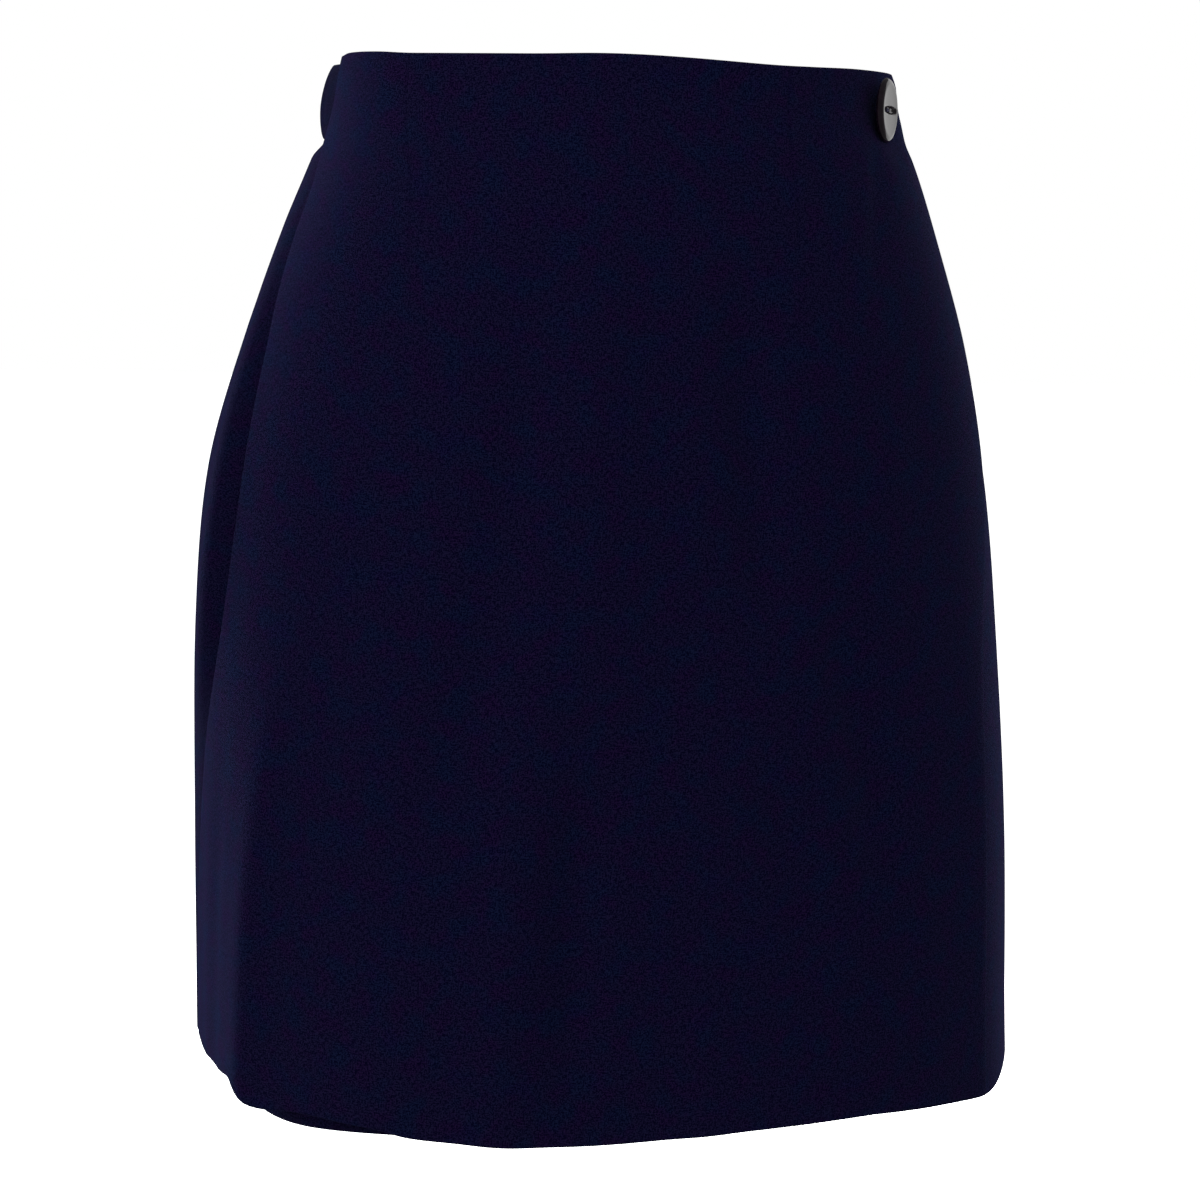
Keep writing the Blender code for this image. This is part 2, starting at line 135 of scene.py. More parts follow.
# The waistband: the parts of its puff and of its flutes that are left at its ends and edges, how its flutes
# lean, the share of it that lies level with the shorts front at the left, its tuck at the right, and how its
# cloth is folded over its top
PUFF_AT_ENDS = 0.3
PUFF_POWER = 0.55
FLUTE_AT_ENDS = 0.2
FLUTE_AT_EDGES = 0.45
LEAN = 0.001
LEAN_COUNT = 19
LEAN_START = 0.13
CASING_LEVEL = 0.03
CASING_TUCK = 2.8 * MM
CASING_TUCKED = 4.5
CASING_TUCK_FADE = 7.0
CASING_FOLD_RADIUS = 1.3 * MM
CASING_FOLD_SHORT = 4 * MM

# The legs: the drops where they begin to part and have parted, how far their inner sides stay off the middle
# at the crotch, where they press together, and at the hem, and how square they turn there
FORK_START = 205 * MM
CROTCH = 288 * MM
CROTCH_SPLIT = -0.6 * MM
HEM_SPLIT = 8 * MM
LEG_CORNER = 5.0

# The button: its size and place, the part of the panel that it sits square to, its eye and its holes, the
# strands that bend over its bridge, and its thread shank, which goes a little up into it
BUTTON_DIAMETER = 27.5 * MM
BUTTON_THICKNESS = 4.0 * MM
BUTTON_BEARING = 62.5
BUTTON_DROP = 17.6 * MM
BUTTON_LIFT = 2.7 * MM
BUTTON_TIP = radians(9.4)
BUTTON_TURN = radians(8.0)
BUTTON_SEGMENTS = 112
SEAT_DEGREES = 2
SEAT_DROP = 12 * MM
EYE_LENGTH = 19.5 * MM
EYE_HEIGHT = 3.6 * MM
EYE_DEPTH = 1.6 * MM
HOLE_SPACING = 5 * MM
HOLE_RADIUS = 1.15 * MM
HOLE_ROUNDING = 0.5 * MM
HOLE_DEPTH = 0.95 * MM
STRANDS = (-0.54 * MM, -0.18 * MM, 0.18 * MM, 0.54 * MM)
STRAND_RADIUS = 0.2 * MM
STRAND_BEND_DROP = 5 * MM
SHANK_BASE = 2.1 * MM
SHANK_NECK = 1.7 * MM
SHANK_OVERLAP = 0.3 * MM

# The suiting's patterns: their waves in a metre of cloth, and where each goes from none of it to all
THREAD_BEND_SCALE = 900.0
THREAD_SCALE = 1900.0
THREAD_STRETCH = 4
FLECK_SCALE = 1550.0
WARM_SCALE = 100.0
COOL_SCALE = 72.0
TONE_RANGE = (0.42, 0.58)
CAST_RANGE = (0.44, 0.66)
WARP_BEND = 1.6
WEFT_BEND = 1.3
THREAD_POWER = 0.7
OVER_HEIGHT = 0.35

# A dart's groove and the lip beside it: where each goes from all to none of it across the dart and at the
# dart's end, its depth or height as a part of a millimetre, and how far the groove's colour is darkened
# towards the dark threads as painted shade
GROOVE_EDGES = (0.2 * MM, 1.3 * MM)
LIP_PLACE = 3.2 * MM
LIP_EDGES = (0.5 * MM, 3.4 * MM)
DART_FADE = (1.05, 0.9)
GROOVE_DEPTH = 0.2
GROOVE_PAINTED_SHADE = 0.2
LIP_HEIGHT = 0.12

# The stage: where the lights are, how wide they are, and how much taller than wide
FLOOR_HEIGHT = -0.98
FLOOR_HALF = 12
RIM_DISTANCE = 2
RIGHT_RIM_HEIGHT = 0.1
LEFT_RIM_HEIGHT = -0.6
RIM_SIZE = 1.0
FRONT_LIGHT_PLACE = (-2.0, -0.75, 0.35)
FRONT_LIGHT_SIZE = 0.8
TOP_LIGHT_PLACE = (0.1, -1.0, 0.95)
TOP_LIGHT_SIZE = 0.7
CARD_DISTANCE = 1.5
CARD_SIZE = 0.9
LIGHT_PROPORTION = 1.4
SENSOR_WIDTH = 36

# How finely shapes are worked out, how far a cloth may stray from its solid, and what stands in for nought
BISECTIONS = 30
BEND_STEPS = 6
WIDTH_POINTS = 49
WIDTH_ROWS = 25
NORMAL_STEP = 0.4 * MM
STRAY = 8 * MM
SMALL = 1e-6
TINY = 1e-9


def table(kind, in_millimetres, *rows):
    """Rows of one kind, of which the named columns are given in millimetres."""
    scales = [MM if name in in_millimetres.split() else 1 for name in kind._fields]
    return tuple(kind(*(value * scale for value, scale in zip(row, scales))) for row in rows)


# The outer form from waist to hem, as the solids have it
Section = namedtuple("Section", "drop half_width shift front back square")
SECTIONS = table(
    Section,
    "drop half_width shift front back",
    (0, 123.8, -2.2, 91, 89, 2.10),
    (20, 126.0, -1.4, 94, 94, 2.12),
    (38, 132.4, 1.6, 98, 100, 2.13),
    (75, 146.4, 1.0, 105, 111, 2.18),
    (120, 161.6, 0.5, 111, 121, 2.22),
    (180, 176.4, -0.8, 117, 128, 2.28),
    (250, 182.2, 0.0, 123, 130, 2.40),
    (340, 184.5, 3.2, 131, 131, 2.60),
    (448, 184.8, 5.5, 138, 132, 2.80),
)

# The panel's sewn edge, in the right side seam, and its free edge on the left
Edge = namedtuple("Edge", "drop sewn free")
PANEL_EDGES = table(
    Edge,
    "drop",
    (0, -82.0, 76.0),
    (40, -82.4, 75.5),
    (80, -81.5, 75.0),
    (130, -77.5, 74.0),
    (190, -75.0, 70.0),
    (250, -77.0, 63.5),
    (310, -83.0, 59.5),
    (375, -90.0, 57.0),
    (448, -93.0, 55.3),
)

# How far the panel's sewn edge laps over the end of the waistband
Lap = namedtuple("Lap", "drop degrees")
WAIST_LAP = table(
    Lap, "drop",
    (0, 0.0), (4, 1.0), (10, 2.0), (18, 2.6), (25, 3.3), (30, 4.3),
    (36, 4.7), (42, 4.0), (49, 2.3), (58, 0.6), (68, 0.0), (448, 0.0),
)

# The drop of the panel's top edge and of its hem, round the body
EdgePoint = namedtuple("EdgePoint", "bearing drop")
PANEL_TOP_LINE = table(
    EdgePoint, "drop",
    (-82.0, 1.9), (-79.5, 0.8), (-70.0, 0.6), (-60.0, 1.3), (-35.0, 0.8), (-18.0, -0.2),
    (-5.0, -0.3), (10.0, 0.2), (30.0, 1.1), (42.0, 0.9), (55.0, 0.3), (76.0, 0.1),
)
PANEL_HEM_LINE = table(
    EdgePoint, "drop",
    (-93.0, 438.8), (-86.0, 438.2), (-80.0, 435.4), (-76.0, 435.6), (-72.0, 434.0), (-69.0, 432.8),
    (-67.5, 435.4), (-66.0, 438.9), (-64.5, 441.2), (-62.0, 441.7), (-59.0, 440.0), (-55.0, 439.7),
    (-50.0, 440.6), (-46.0, 441.7), (-42.0, 444.0), (-36.0, 445.1), (-18.0, 447.1), (0.0, 446.0),
    (20.0, 444.0), (35.0, 442.9), (48.0, 443.6), (55.3, 445.8),
)

# Space between the shorts front and the panel that hangs over it
Hang = namedtuple("Hang", "drop space")
PANEL_HANG = table(
    Hang, "drop space",
    (0, 0.0), (60, 0.4), (150, 2.6), (250, 5.0), (350, 7.5), (448, 9.0),
)

# How far the back pouches out just behind the right seam
Pouch = namedtuple("Pouch", "drop height")
BACK_POUCH = table(
    Pouch, "drop height",
    (45, 0.0), (76, 2.0), (98, 3.2), (126, 5.4), (160, 6.9), (212, 7.7),
    (240, 6.8), (274, 4.0), (300, 2.0), (340, 0.6), (400, 0.0), (448, 0.0),
)

# Folds, each a soft ridge (+) or trough (-) along a path of three bearings. It falls away over its right
# spread on the side of the wearer's right and over its left spread on the other, in degrees. It comes and
# goes over the same share of its length.
Fold = namedtuple("Fold", "start end high middle low right left rise")
FOLD_FADE = 0.35


def fold_table(*rows):
    """Folds whose start, end and rise are given in millimetres."""
    return table(Fold, "start end rise", *rows)


PANEL_FOLDS = fold_table(
    (4, 46, 64.5, 65.0, 65.5, 7.0, 6.5, -1.8),
    (60, 350, -31.0, -32.0, -43.0, 6.0, 6.0, -3.3),
    (70, 250, 14.0, 17.5, 22.5, 5.0, 5.0, -4.0),
    (200, 370, 31.0, 37.0, 38.0, 4.5, 4.5, -3.6),
    (280, 440, -15.5, -18.5, -16.0, 4.5, 4.5, -3.7),
    (285, 385, 17.0, 22.5, 28.5, 6.0, 6.0, -2.4),
    (30, 300, -18.0, -14.5, -13.0, 7.0, 7.0, 1.6),
    (210, 620, -22.5, -28.5, -27.0, 5.5, 5.5, 3.0),
    (230, 640, -64.0, -66.0, -65.6, 9.0, 4.0, 4.6),
    (230, 640, -64.0, -66.0, -65.6, 3.2, 2.4, 2.4),
)
# The soft swell of the wearer's left side, which the panel and the shorts share
SIDE_SWELLS = fold_table(
    (-200, 700, 74.0, 74.0, 74.0, 14.0, 16.0, 0.9),
    (-6, 34, 77.0, 77.0, 77.0, 13.0, 14.0, 2.8),
    (400, 520, 66.0, 66.0, 66.0, 10.0, 14.0, 0.7),
)
# The panel's free edge stands a little off, and the shorts swell under it
EDGE_FOLDS = fold_table((180, 640, 64.5, 57.0, 55.5, 7.0, 8.0, 3.0))
# Finer creases of the panel, on top of those
PANEL_CREASES = fold_table(
    (20, 95, 58.0, 50.0, 44.0, 2.6, 3.4, -0.7),
    (28, 120, 53.0, 44.8, 42.5, 2.4, 2.4, 0.6),
    (110, 260, 48.0, 46.0, 42.0, 2.2, 3.0, 0.6),
    (60, 230, 5.0, 3.0, 2.0, 4.0, 4.0, 0.5),
    (150, 330, -52.0, -54.0, -58.0, 4.0, 3.0, -0.6),
    (330, 520, 8.0, 6.0, 5.0, 4.5, 4.5, 0.9),
    (320, 500, 44.0, 46.0, 47.0, 3.0, 3.5, 0.7),
    (250, 600, -73.0, -75.5, -76.0, 2.2, 2.0, -0.7),
    (260, 600, -78.0, -80.5, -81.0, 2.4, 2.6, 0.7),
)
# Soft folds of the backs, which the gathered waistband lets out
BACK_FOLDS = fold_table(
    (25, 230, 112.0, 110.0, 107.0, 5.0, 5.0, 2.6),
    (25, 290, 131.0, 133.0, 138.0, 6.0, 6.0, -3.2),
    (25, 230, 152.0, 150.0, 147.0, 5.0, 5.0, 2.4),
    (20, 200, 168.0, 169.0, 172.0, 4.0, 4.0, -2.0),
    (25, 210, 208.0, 209.0, 211.0, 5.0, 5.0, 2.5),
    (25, 270, 229.0, 226.0, 221.0, 6.0, 6.0, -3.3),
    (25, 210, 247.0, 249.0, 249.0, 4.5, 4.5, 2.2),
    (150, 330, 160.0, 152.0, 141.0, 5.0, 6.0, -2.2),
    (160, 320, 200.0, 207.0, 219.0, 6.0, 5.0, -2.0),
)
# Finer creases of the backs, and the long folds of the legs below them
BACK_CREASES = fold_table(
    (60, 190, 99.0, 101.0, 104.0, 2.5, 3.0, -0.8),
    (45, 150, 121.0, 120.0, 122.0, 2.2, 2.6, 0.9),
    (50, 170, 143.0, 142.0, 140.0, 2.4, 2.2, -0.8),
    (40, 130, 163.0, 164.0, 166.0, 2.2, 2.2, 0.7),
    (40, 140, 196.0, 195.0, 193.0, 2.0, 2.6, 0.8),
    (50, 180, 218.0, 219.0, 222.0, 2.6, 2.2, -0.7),
    (45, 160, 239.0, 240.0, 238.0, 2.2, 2.6, 0.9),
    (55, 200, 261.0, 259.0, 257.0, 2.6, 2.4, -0.9),
    (270, 520, 118.0, 116.0, 117.0, 7.0, 6.0, 3.0),
    (260, 500, 143.0, 146.0, 147.0, 6.0, 7.0, -3.0),
    (280, 540, 238.0, 241.0, 242.0, 7.0, 6.0, 3.0),
    (255, 490, 213.0, 211.0, 210.0, 6.0, 7.0, -2.8),
)

# Half of the button's outline, as parts of its radius and its thickness, from its face round to its back,
# and the stretches of it, each with its first step, its last and its number of points
Rim = namedtuple("Rim", "step along up")
BUTTON_RIM = table(
    Rim, "",
    (0, 0.0, 0.90), (1, 0.35, 0.905), (2, 0.62, 0.925), (3, 0.78, 0.95), (4, 0.85, 0.935),
    (5, 0.94, 0.82), (6, 1.0, 0.54), (7, 0.98, 0.34), (8, 0.88, 0.12), (9, 0.62, 0.0), (10, 0.0, 0.0),
)
RIM_STRETCHES = ((0, 2, 30), (2, 7, 26), (7, 10, 10))

# Gathers that the elastic makes, as waves of uneven length round the back
Wave = namedtuple("Wave", "count share sway sway_count")
GATHERS = table(Wave, "", (23, 0.55, 1.4, 3), (37, 0.30, 1.1, 5), (53, 0.15, 0.8, 4))

# The waist darts of the panel: how far to the left of its middle and how far down each starts and ends
Dart = namedtuple("Dart", "start_x start_drop end_x end_drop")
DARTS = table(Dart, "start_x start_drop end_x end_drop", (-107.4, 1, -110, 86), (58.3, 1, 55.2, 78))


def smoothstep(value):
    value = np.clip(value, 0.0, 1.0)
    return value * value * (3 - 2 * value)


def column_at(rows, key, name, where):
    """A column of a table at places between its rows, by cubic curves through every row."""
    keys = np.array([getattr(row, key) for row in rows])
    values = np.array([getattr(row, name) for row in rows])
    slopes = np.empty(len(rows))
    slopes[1:-1] = (values[2:] - values[:-2]) / (keys[2:] - keys[:-2])
    slopes[0] = (values[1] - values[0]) / (keys[1] - keys[0])
    slopes[-1] = (values[-1] - values[-2]) / (keys[-1] - keys[-2])
    where = np.clip(where, keys[0], keys[-1])
    index = np.clip(np.searchsorted(keys, where, side="right") - 1, 0, len(rows) - 2)
    span = keys[index + 1] - keys[index]
    t = (where - keys[index]) / span
    return (
        values[index] * (1 - 3 * t**2 + 2 * t**3)
        + values[index + 1] * (3 * t**2 - 2 * t**3)
        + span * slopes[index] * (t - 2 * t**2 + t**3)
        + span * slopes[index + 1] * (t**3 - t**2)
    )


def section_at(drop):
    return Section(drop, *(column_at(SECTIONS, "drop", name, drop) for name in Section._fields[1:]))


def reach(section, bearing):
    """Distance from the section's middle to the outer form in this direction."""
    side, ahead = np.sin(np.radians(bearing)), np.cos(np.radians(bearing))
    depth = np.where(ahead > 0, section.front, section.back)
    power = section.square
    return (np.abs(side / section.half_width) ** power + np.abs(ahead / depth) ** power) ** (-1 / power)


def place(section, bearing, distance):
    x = section.shift + distance * np.sin(np.radians(bearing))
    y = -distance * np.cos(np.radians(bearing))
    return np.stack(np.broadcast_arrays(x, y, TOP - section.drop), axis=-1)


def fold_rise(folds, bearing, drop):
    """How far these folds push the cloth out at each place."""
    total = np.zeros(np.broadcast(bearing, drop).shape)
    for fold in folds:
        along = np.clip((drop - fold.start) / (fold.end - fold.start), 0, 1)
        centre = (
            fold.high * (1 - along) * (1 - 2 * along)
            + fold.middle * 4 * along * (1 - along)
            + fold.low * along * (2 * along - 1)
        )
        fade = smoothstep(along / FOLD_FADE) * smoothstep((1 - along) / FOLD_FADE)
        off = bearing - centre
        spread = np.where(off < 0, fold.right, fold.left)
        total += fold.rise * fade * np.exp(-((off / spread) ** 2))
    return total


def gathers(share):
    """The height of the gathers, from -1 to 1, a share of the way from the left seam round to the right."""
    total = 0
    for wave in GATHERS:
        sway = wave.sway * np.sin(2 * pi * wave.sway_count * share)
        total = total + wave.share * np.sin(2 * pi * wave.count * share + sway)
    return total


def pinched(height):
    """Gathers with broad crests and narrow valleys."""
    return 2 * np.clip((1 + height) / 2, SMALL, 1) ** CREST_POWER - CREST_LEVEL


def off_the_seams(share):
    """0 at the two side seams and 1 between them."""
    return smoothstep(np.minimum(share, 1 - share) / GATHER_FADE)


def right_seam_at(drop):
    return column_at(PANEL_EDGES, "drop", "sewn", drop)


def left_seam_at(drop):
    return LEFT_SEAM + drop * 0


def free_edge_at(drop):
    return column_at(PANEL_EDGES, "drop", "free", drop)


def sewn_edge_at(drop):
    """The panel's sewn edge, which is in the right seam and laps over the end of the waistband."""
    return right_seam_at(drop) - np.maximum(column_at(WAIST_LAP, "drop", "degrees", drop), 0)


def behind_seam(bearing, drop):
    """How many degrees round the back a bearing is from the right seam."""
    return (right_seam_at(drop) - bearing) % 360


def cover_depth(bearing, drop):
    """How far the shorts front lies inside the outer form, under the panel that covers it."""
    sewn, free = right_seam_at(drop), free_edge_at(drop)
    loose = smoothstep((bearing - sewn) / COVER_FADE) * smoothstep((free - bearing) / COVER_FADE)
    hang = column_at(PANEL_HANG, "drop", "space", drop)
    trough = np.minimum(fold_rise(PANEL_FOLDS, bearing, drop), 0)
    covered = 1 - smoothstep((bearing - free) / UNCOVER_FADE)
    return (PANEL_WALL + LAYER_GAP + hang * loose - trough) * covered


def back_tuck(bearing, drop):
    """The backs lie level with the shorts front at the right seam, and swell to the outer form behind it."""
    return (PANEL_WALL + LAYER_GAP) * (1 - smoothstep(behind_seam(bearing, drop) / TUCK_FADE))


def back_pouch(bearing, drop):
    """Behind the right seam the backs pouch out past the panel's edge, and settle to the outer form."""
    behind = behind_seam(bearing, drop)
    settled = np.clip((behind - POUCH_CREST) / POUCH_BACK, 0, 1)
    height = np.maximum(column_at(BACK_POUCH, "drop", "height", drop), 0)
    return height * smoothstep(behind / POUCH_FRONT) * (1 - settled) ** POUCH_FALL


def back_dip(drop):
    """The backs are drawn in to the waistband's seam, and their raw top lies up inside the casing."""
    drawn_in = 1 - smoothstep((drop - BACK_TOP) / BACK_DIP_LENGTH)
    inside = 1 - smoothstep((drop - BACK_TOP + INSIDE_START) / INSIDE_LENGTH)
    return EDGE_DIP * drawn_in + INSIDE_CASING * inside


def back_gathers(bearing, drop):
    """The gathers that run down from the waistband into the backs."""
    right_seam = 360 + right_seam_at(drop)
    share = (bearing % 360 - LEFT_SEAM) / (right_seam - LEFT_SEAM)
    below = np.clip((drop - BACK_TOP) / GATHER_LENGTH, 0, 1)
    freed = GATHER_HELD + (1 - GATHER_HELD) * smoothstep((drop - BACK_TOP) / GATHER_FREED)
    height = GATHER_RISE * freed * pinched(gathers(share))
    return height * (1 - below) ** GATHER_FALL * off_the_seams(share)


def shorts_reach(section, bearing):
    """Distance from the section's middle to the shorts, front or back."""
    drop = section.drop
    round_front = (bearing + 180) % 360 - 180
    distance = reach(section, bearing)
    in_front = (right_seam_at(drop) <= round_front) & (round_front <= LEFT_SEAM)
    swell = fold_rise(SIDE_SWELLS + EDGE_FOLDS, round_front, drop)
    front = distance - cover_depth(round_front, drop) + swell
    round_back = bearing % 360
    relief = fold_rise(BACK_FOLDS + BACK_CREASES, round_back, drop) + back_gathers(round_back, drop)
    back = distance - back_tuck(bearing, drop) - back_dip(drop) + back_pouch(bearing, drop) + relief + swell
    return np.where(in_front, front, back)


def leg_middle(section, side):
    return section.shift / 2 + side * section.half_width / 2


def leg_point(section, side, local_bearing):
    """Points of one leg, at bearings about the leg's middle: inside the outer form, and on the leg's own
    side of the body but for the little that the two press together at the crotch."""
    down = smoothstep((section.drop - CROTCH) / (LEG_HEM - CROTCH))
    split = CROTCH_SPLIT + (HEM_SPLIT - CROTCH_SPLIT) * down
    middle_x = leg_middle(section, side)
    heading_x, heading_y = np.sin(np.radians(local_bearing)), -np.cos(np.radians(local_bearing))
    near, far = np.zeros_like(heading_x), 2 * section.half_width + heading_x * 0
    for _ in range(BISECTIONS):
        distance = (near + far) / 2
        x, y = middle_x + heading_x * distance, heading_y * distance
        bearing = np.degrees(np.arctan2(x - section.shift, -y))
        inside = np.hypot(x - section.shift, y) < shorts_reach(section, bearing)
        near, far = np.where(inside, distance, near), np.where(inside, far, distance)
    inward = -side * heading_x
    to_inner_side = (side * middle_x - split) / np.where(inward > SMALL, inward, 1)
    cornered = (np.maximum(near, TINY) ** -LEG_CORNER + to_inner_side**-LEG_CORNER) ** (-1 / LEG_CORNER)
    near = np.where(inward > SMALL, cornered, near)
    x, y = middle_x + heading_x * near, heading_y * near
    return np.stack(np.broadcast_arrays(x, y, TOP - section.drop), axis=-1)


# The hem of each leg quarter: its drop at the side seam, how far round it stays so and how far round it then
# takes to come down, and where and how much it hangs a little lower still
LegHem = namedtuple("LegHem", "at_seam level fall dip_at dip_spread dip")
LEG_HEMS = {
    "shorts_front_right": LegHem(441.8 * MM, 0.0, 0.22, 0.305, 0.11, 3.7 * MM),
    "shorts_front_left": LegHem(439.3 * MM, 0.14, 0.13, 0.285, 0.035, 1.3 * MM),
    "shorts_back_right": LegHem(441.8 * MM, 0.0, 0.22, 0.5, 0.16, 1.2 * MM),
    "shorts_back_left": LegHem(439.3 * MM, 0.0, 0.22, 0.45, 0.15, 1.6 * MM),
}

# The quarters of the shorts: the side of the body, the drop of the top edge, the side seam, the bearing of
# the centre seam, and the suiting with what its colours are multiplied by. The real cloth is all one colour:
# the right front's 0.8 is painted shade under the panel, the backs' 0.8 and 0.82 are painted shade behind
# the panel's edge, and the left front's 1.08 is painted light on the strip past the panel's free edge
Quarter = namedtuple("Quarter", "node side top seam_at end suiting depth")
INSIDE_TOP = BACK_TOP - BACK_LAP
QUARTERS = (
    Quarter("shorts_front_right", -1, FRONT_TOP, right_seam_at, 0, "navy_suiting_right_front", 0.8),
    Quarter("shorts_front_left", 1, FRONT_TOP, left_seam_at, 0, "navy_suiting_left_front", 1.08),
    Quarter("shorts_back_right", -1, INSIDE_TOP, right_seam_at, -180, "navy_suiting_right_back", 0.8),
    Quarter("shorts_back_left", 1, INSIDE_TOP, left_seam_at, 180, "navy_suiting_left_back", 0.82),
)


def from_side_seam(quarter, u):
    """The share of the way from a quarter's side seam to its centre seam, as u grows with the bearing."""
    return u if (quarter.end == 0) == (quarter.side < 0) else 1 - u


def quarter_face(quarter):
    """The outer side of a shorts quarter, which goes round its leg below the crotch."""

    def face(u, drop):
        share = from_side_seam(quarter, u)
        section = section_at(drop)
        seam = quarter.seam_at(drop)
        bearing = seam + (quarter.end - seam) * share
        on_body = place(section, bearing, shorts_reach(section, bearing))
        at_seam = place(section, seam, shorts_reach(section, seam))
        local_seam = np.degrees(
            np.arctan2(at_seam[..., 0] - leg_middle(section, quarter.side), -at_seam[..., 1])
        )
        local_end = quarter.side * (-90 if quarter.end == 0 else 270)
        on_leg = leg_point(section, quarter.side, local_seam + (local_end - local_seam) * share)
        split = smoothstep((drop - FORK_START) / (CROTCH - FORK_START))[..., None]
        return on_body + (on_leg - on_body) * split

    return face


def level_line(drop):
    """An edge that has the same drop all along."""

    def line(u):
        return drop + u * 0

    return line


def quarter_hem(quarter):
    """The hem of a shorts quarter, as drops at u."""

    def hem(u):
        share, shape = from_side_seam(quarter, u), LEG_HEMS[quarter.node]
        fallen = smoothstep((share - shape.level) / shape.fall)
        dip = shape.dip * np.exp(-(((share - shape.dip_at) / shape.dip_spread) ** 2))
        return shape.at_seam + (LEG_HEM - shape.at_seam) * fallen + dip

    return hem


def panel_bearing(u, drop):
    sewn, free = sewn_edge_at(drop), free_edge_at(drop)
    return sewn + (free - sewn) * u


def panel_face(u, drop):
    """The outer side of the wrap panel, from its sewn edge to its free edge."""
    bearing = panel_bearing(u, drop)
    section = section_at(drop)
    relief = fold_rise(PANEL_FOLDS + PANEL_CREASES + SIDE_SWELLS + EDGE_FOLDS, bearing, drop)
    return place(section, bearing, reach(section, bearing) + relief)


def panel_top(u):
    return column_at(PANEL_TOP_LINE, "bearing", "drop", panel_bearing(u, 0.0))


def panel_hem(u):
    return column_at(PANEL_HEM_LINE, "bearing", "drop", panel_bearing(u, LEG_HEM))


def casing_face(settings):
    """The outer side of the gathered waistband, from the left seam round the back to the right seam."""

    def face(u, drop):
        end = 360 + right_seam_at(drop)
        bearing = LEFT_SEAM + (end - LEFT_SEAM) * u
        section = section_at(drop)
        arch = np.sin(pi * np.clip((drop - CASING_TOP) / WAISTBAND_HEIGHT, 0, 1))
        crest = settings.casing_puff * (PUFF_AT_ENDS + (1 - PUFF_AT_ENDS) * off_the_seams(u))
        puff = (crest + EDGE_DIP) * np.maximum(arch, TINY) ** PUFF_POWER - EDGE_DIP
        lean = LEAN * np.sin(2 * pi * (u * LEAN_COUNT + LEAN_START)) * arch
        flute = settings.flute_depth * pinched(gathers(u + lean))
        flute = flute * (FLUTE_AT_EDGES + (1 - FLUTE_AT_EDGES) * arch)
        flute = flute * (FLUTE_AT_ENDS + (1 - FLUTE_AT_ENDS) * off_the_seams(u))
        tuck = 1 - smoothstep((behind_seam(bearing, drop) - CASING_TUCKED) / CASING_TUCK_FADE)
        swell = fold_rise(SIDE_SWELLS, bearing, drop)
        level = 1 - smoothstep(u / CASING_LEVEL)
        rise = (puff + flute) * (1 - level) - cover_depth(LEFT_SEAM, drop) * level
        return place(section, bearing, reach(section, bearing) + rise + swell - CASING_TUCK * tuck)

    return face


# Cloth whose edges are turned under

Turn = namedtuple("Turn", "allowance radius")
Stations = namedtuple("Stations", "share offset path depth under")


def turned_edge(turn, spacing):
    """Where the cloth lies from its raw edge, back inside, to where it is flat again: how far in from the
    fold, how far along the cloth, how deep, and whether it is the allowance (2), the bend (1) or neither."""
    flat_steps = max(2, round(turn.allowance / spacing))
    flat = np.linspace(turn.allowance, 0, flat_steps, endpoint=False)
    angle = np.linspace(pi, 0, BEND_STEPS + 1)
    along = np.concatenate([turn.radius + flat, turn.radius * (1 - np.sin(angle))])
    path = np.concatenate([-flat - pi * turn.radius, -angle * turn.radius]) + turn.radius
    depth = np.concatenate([2 * turn.radius + flat * 0, turn.radius * (1 - np.cos(angle))])
    under = np.concatenate([flat * 0 + 2, np.minimum(angle, 1).round()])
    return along, path, depth, under


def stations(first, last, segments, spacing, crowding=0):
    """The columns or rows of a sheet: each lies at share x length + offset, turned in by depth. Crowding
    above 0 draws them together towards the last edge."""
    along_0, path_0, depth_0, under_0 = turned_edge(first, spacing)
    along_1, path_1, depth_1, under_1 = turned_edge(last, spacing)
    share = np.linspace(0, 1, segments + 1)[1:-1]
    share = share * (1 + crowding) - crowding * share**2
    main = first.radius - share * (first.radius + last.radius)
    return Stations(
        np.concatenate([along_0 * 0, share, along_1 * 0 + 1]),
        np.concatenate([along_0, main, -along_1[::-1]]),
        np.concatenate([path_0, main, -path_1[::-1]]),
        np.concatenate([depth_0, share * 0, depth_1[::-1]]),
        np.concatenate([under_0, share * 0, under_1[::-1]]),
    )


def width_at(face, drop):
    """Length of the sheet round the body at these drops."""
    u = np.linspace(0, 1, WIDTH_POINTS)
    drops = np.linspace(np.min(drop), np.max(drop), WIDTH_ROWS)
    points = face(*np.meshgrid(u, drops))
    widths = np.linalg.norm(np.diff(points, axis=1), axis=2).sum(axis=1)
    return np.interp(drop, drops, widths)


def outward(face, u, drop, width):
    """The direction straight out of the sheet."""
    along = face(u + NORMAL_STEP / width, drop) - face(u - NORMAL_STEP / width, drop)
    up = face(u, drop - NORMAL_STEP) - face(u, drop + NORMAL_STEP)
    normal = np.cross(along, up)
    return normal / np.linalg.norm(normal, axis=-1, keepdims=True)


def finished_mesh(name, shape):
    mesh = bpy.data.meshes.new(name)
    shape.to_mesh(mesh)
    shape.free()
    return mesh


def smooth_object(mesh, material):
    """An object of a mesh, with its name, smooth and of one material."""
    mesh.materials.append(material)
    mesh.shade_smooth()
    thing = bpy.data.objects.new(mesh.name, mesh)
    bpy.context.scene.collection.objects.link(thing)
    return thing


Cloth = namedtuple("Cloth", "node face top hem turns segments spacing nudge crowding")


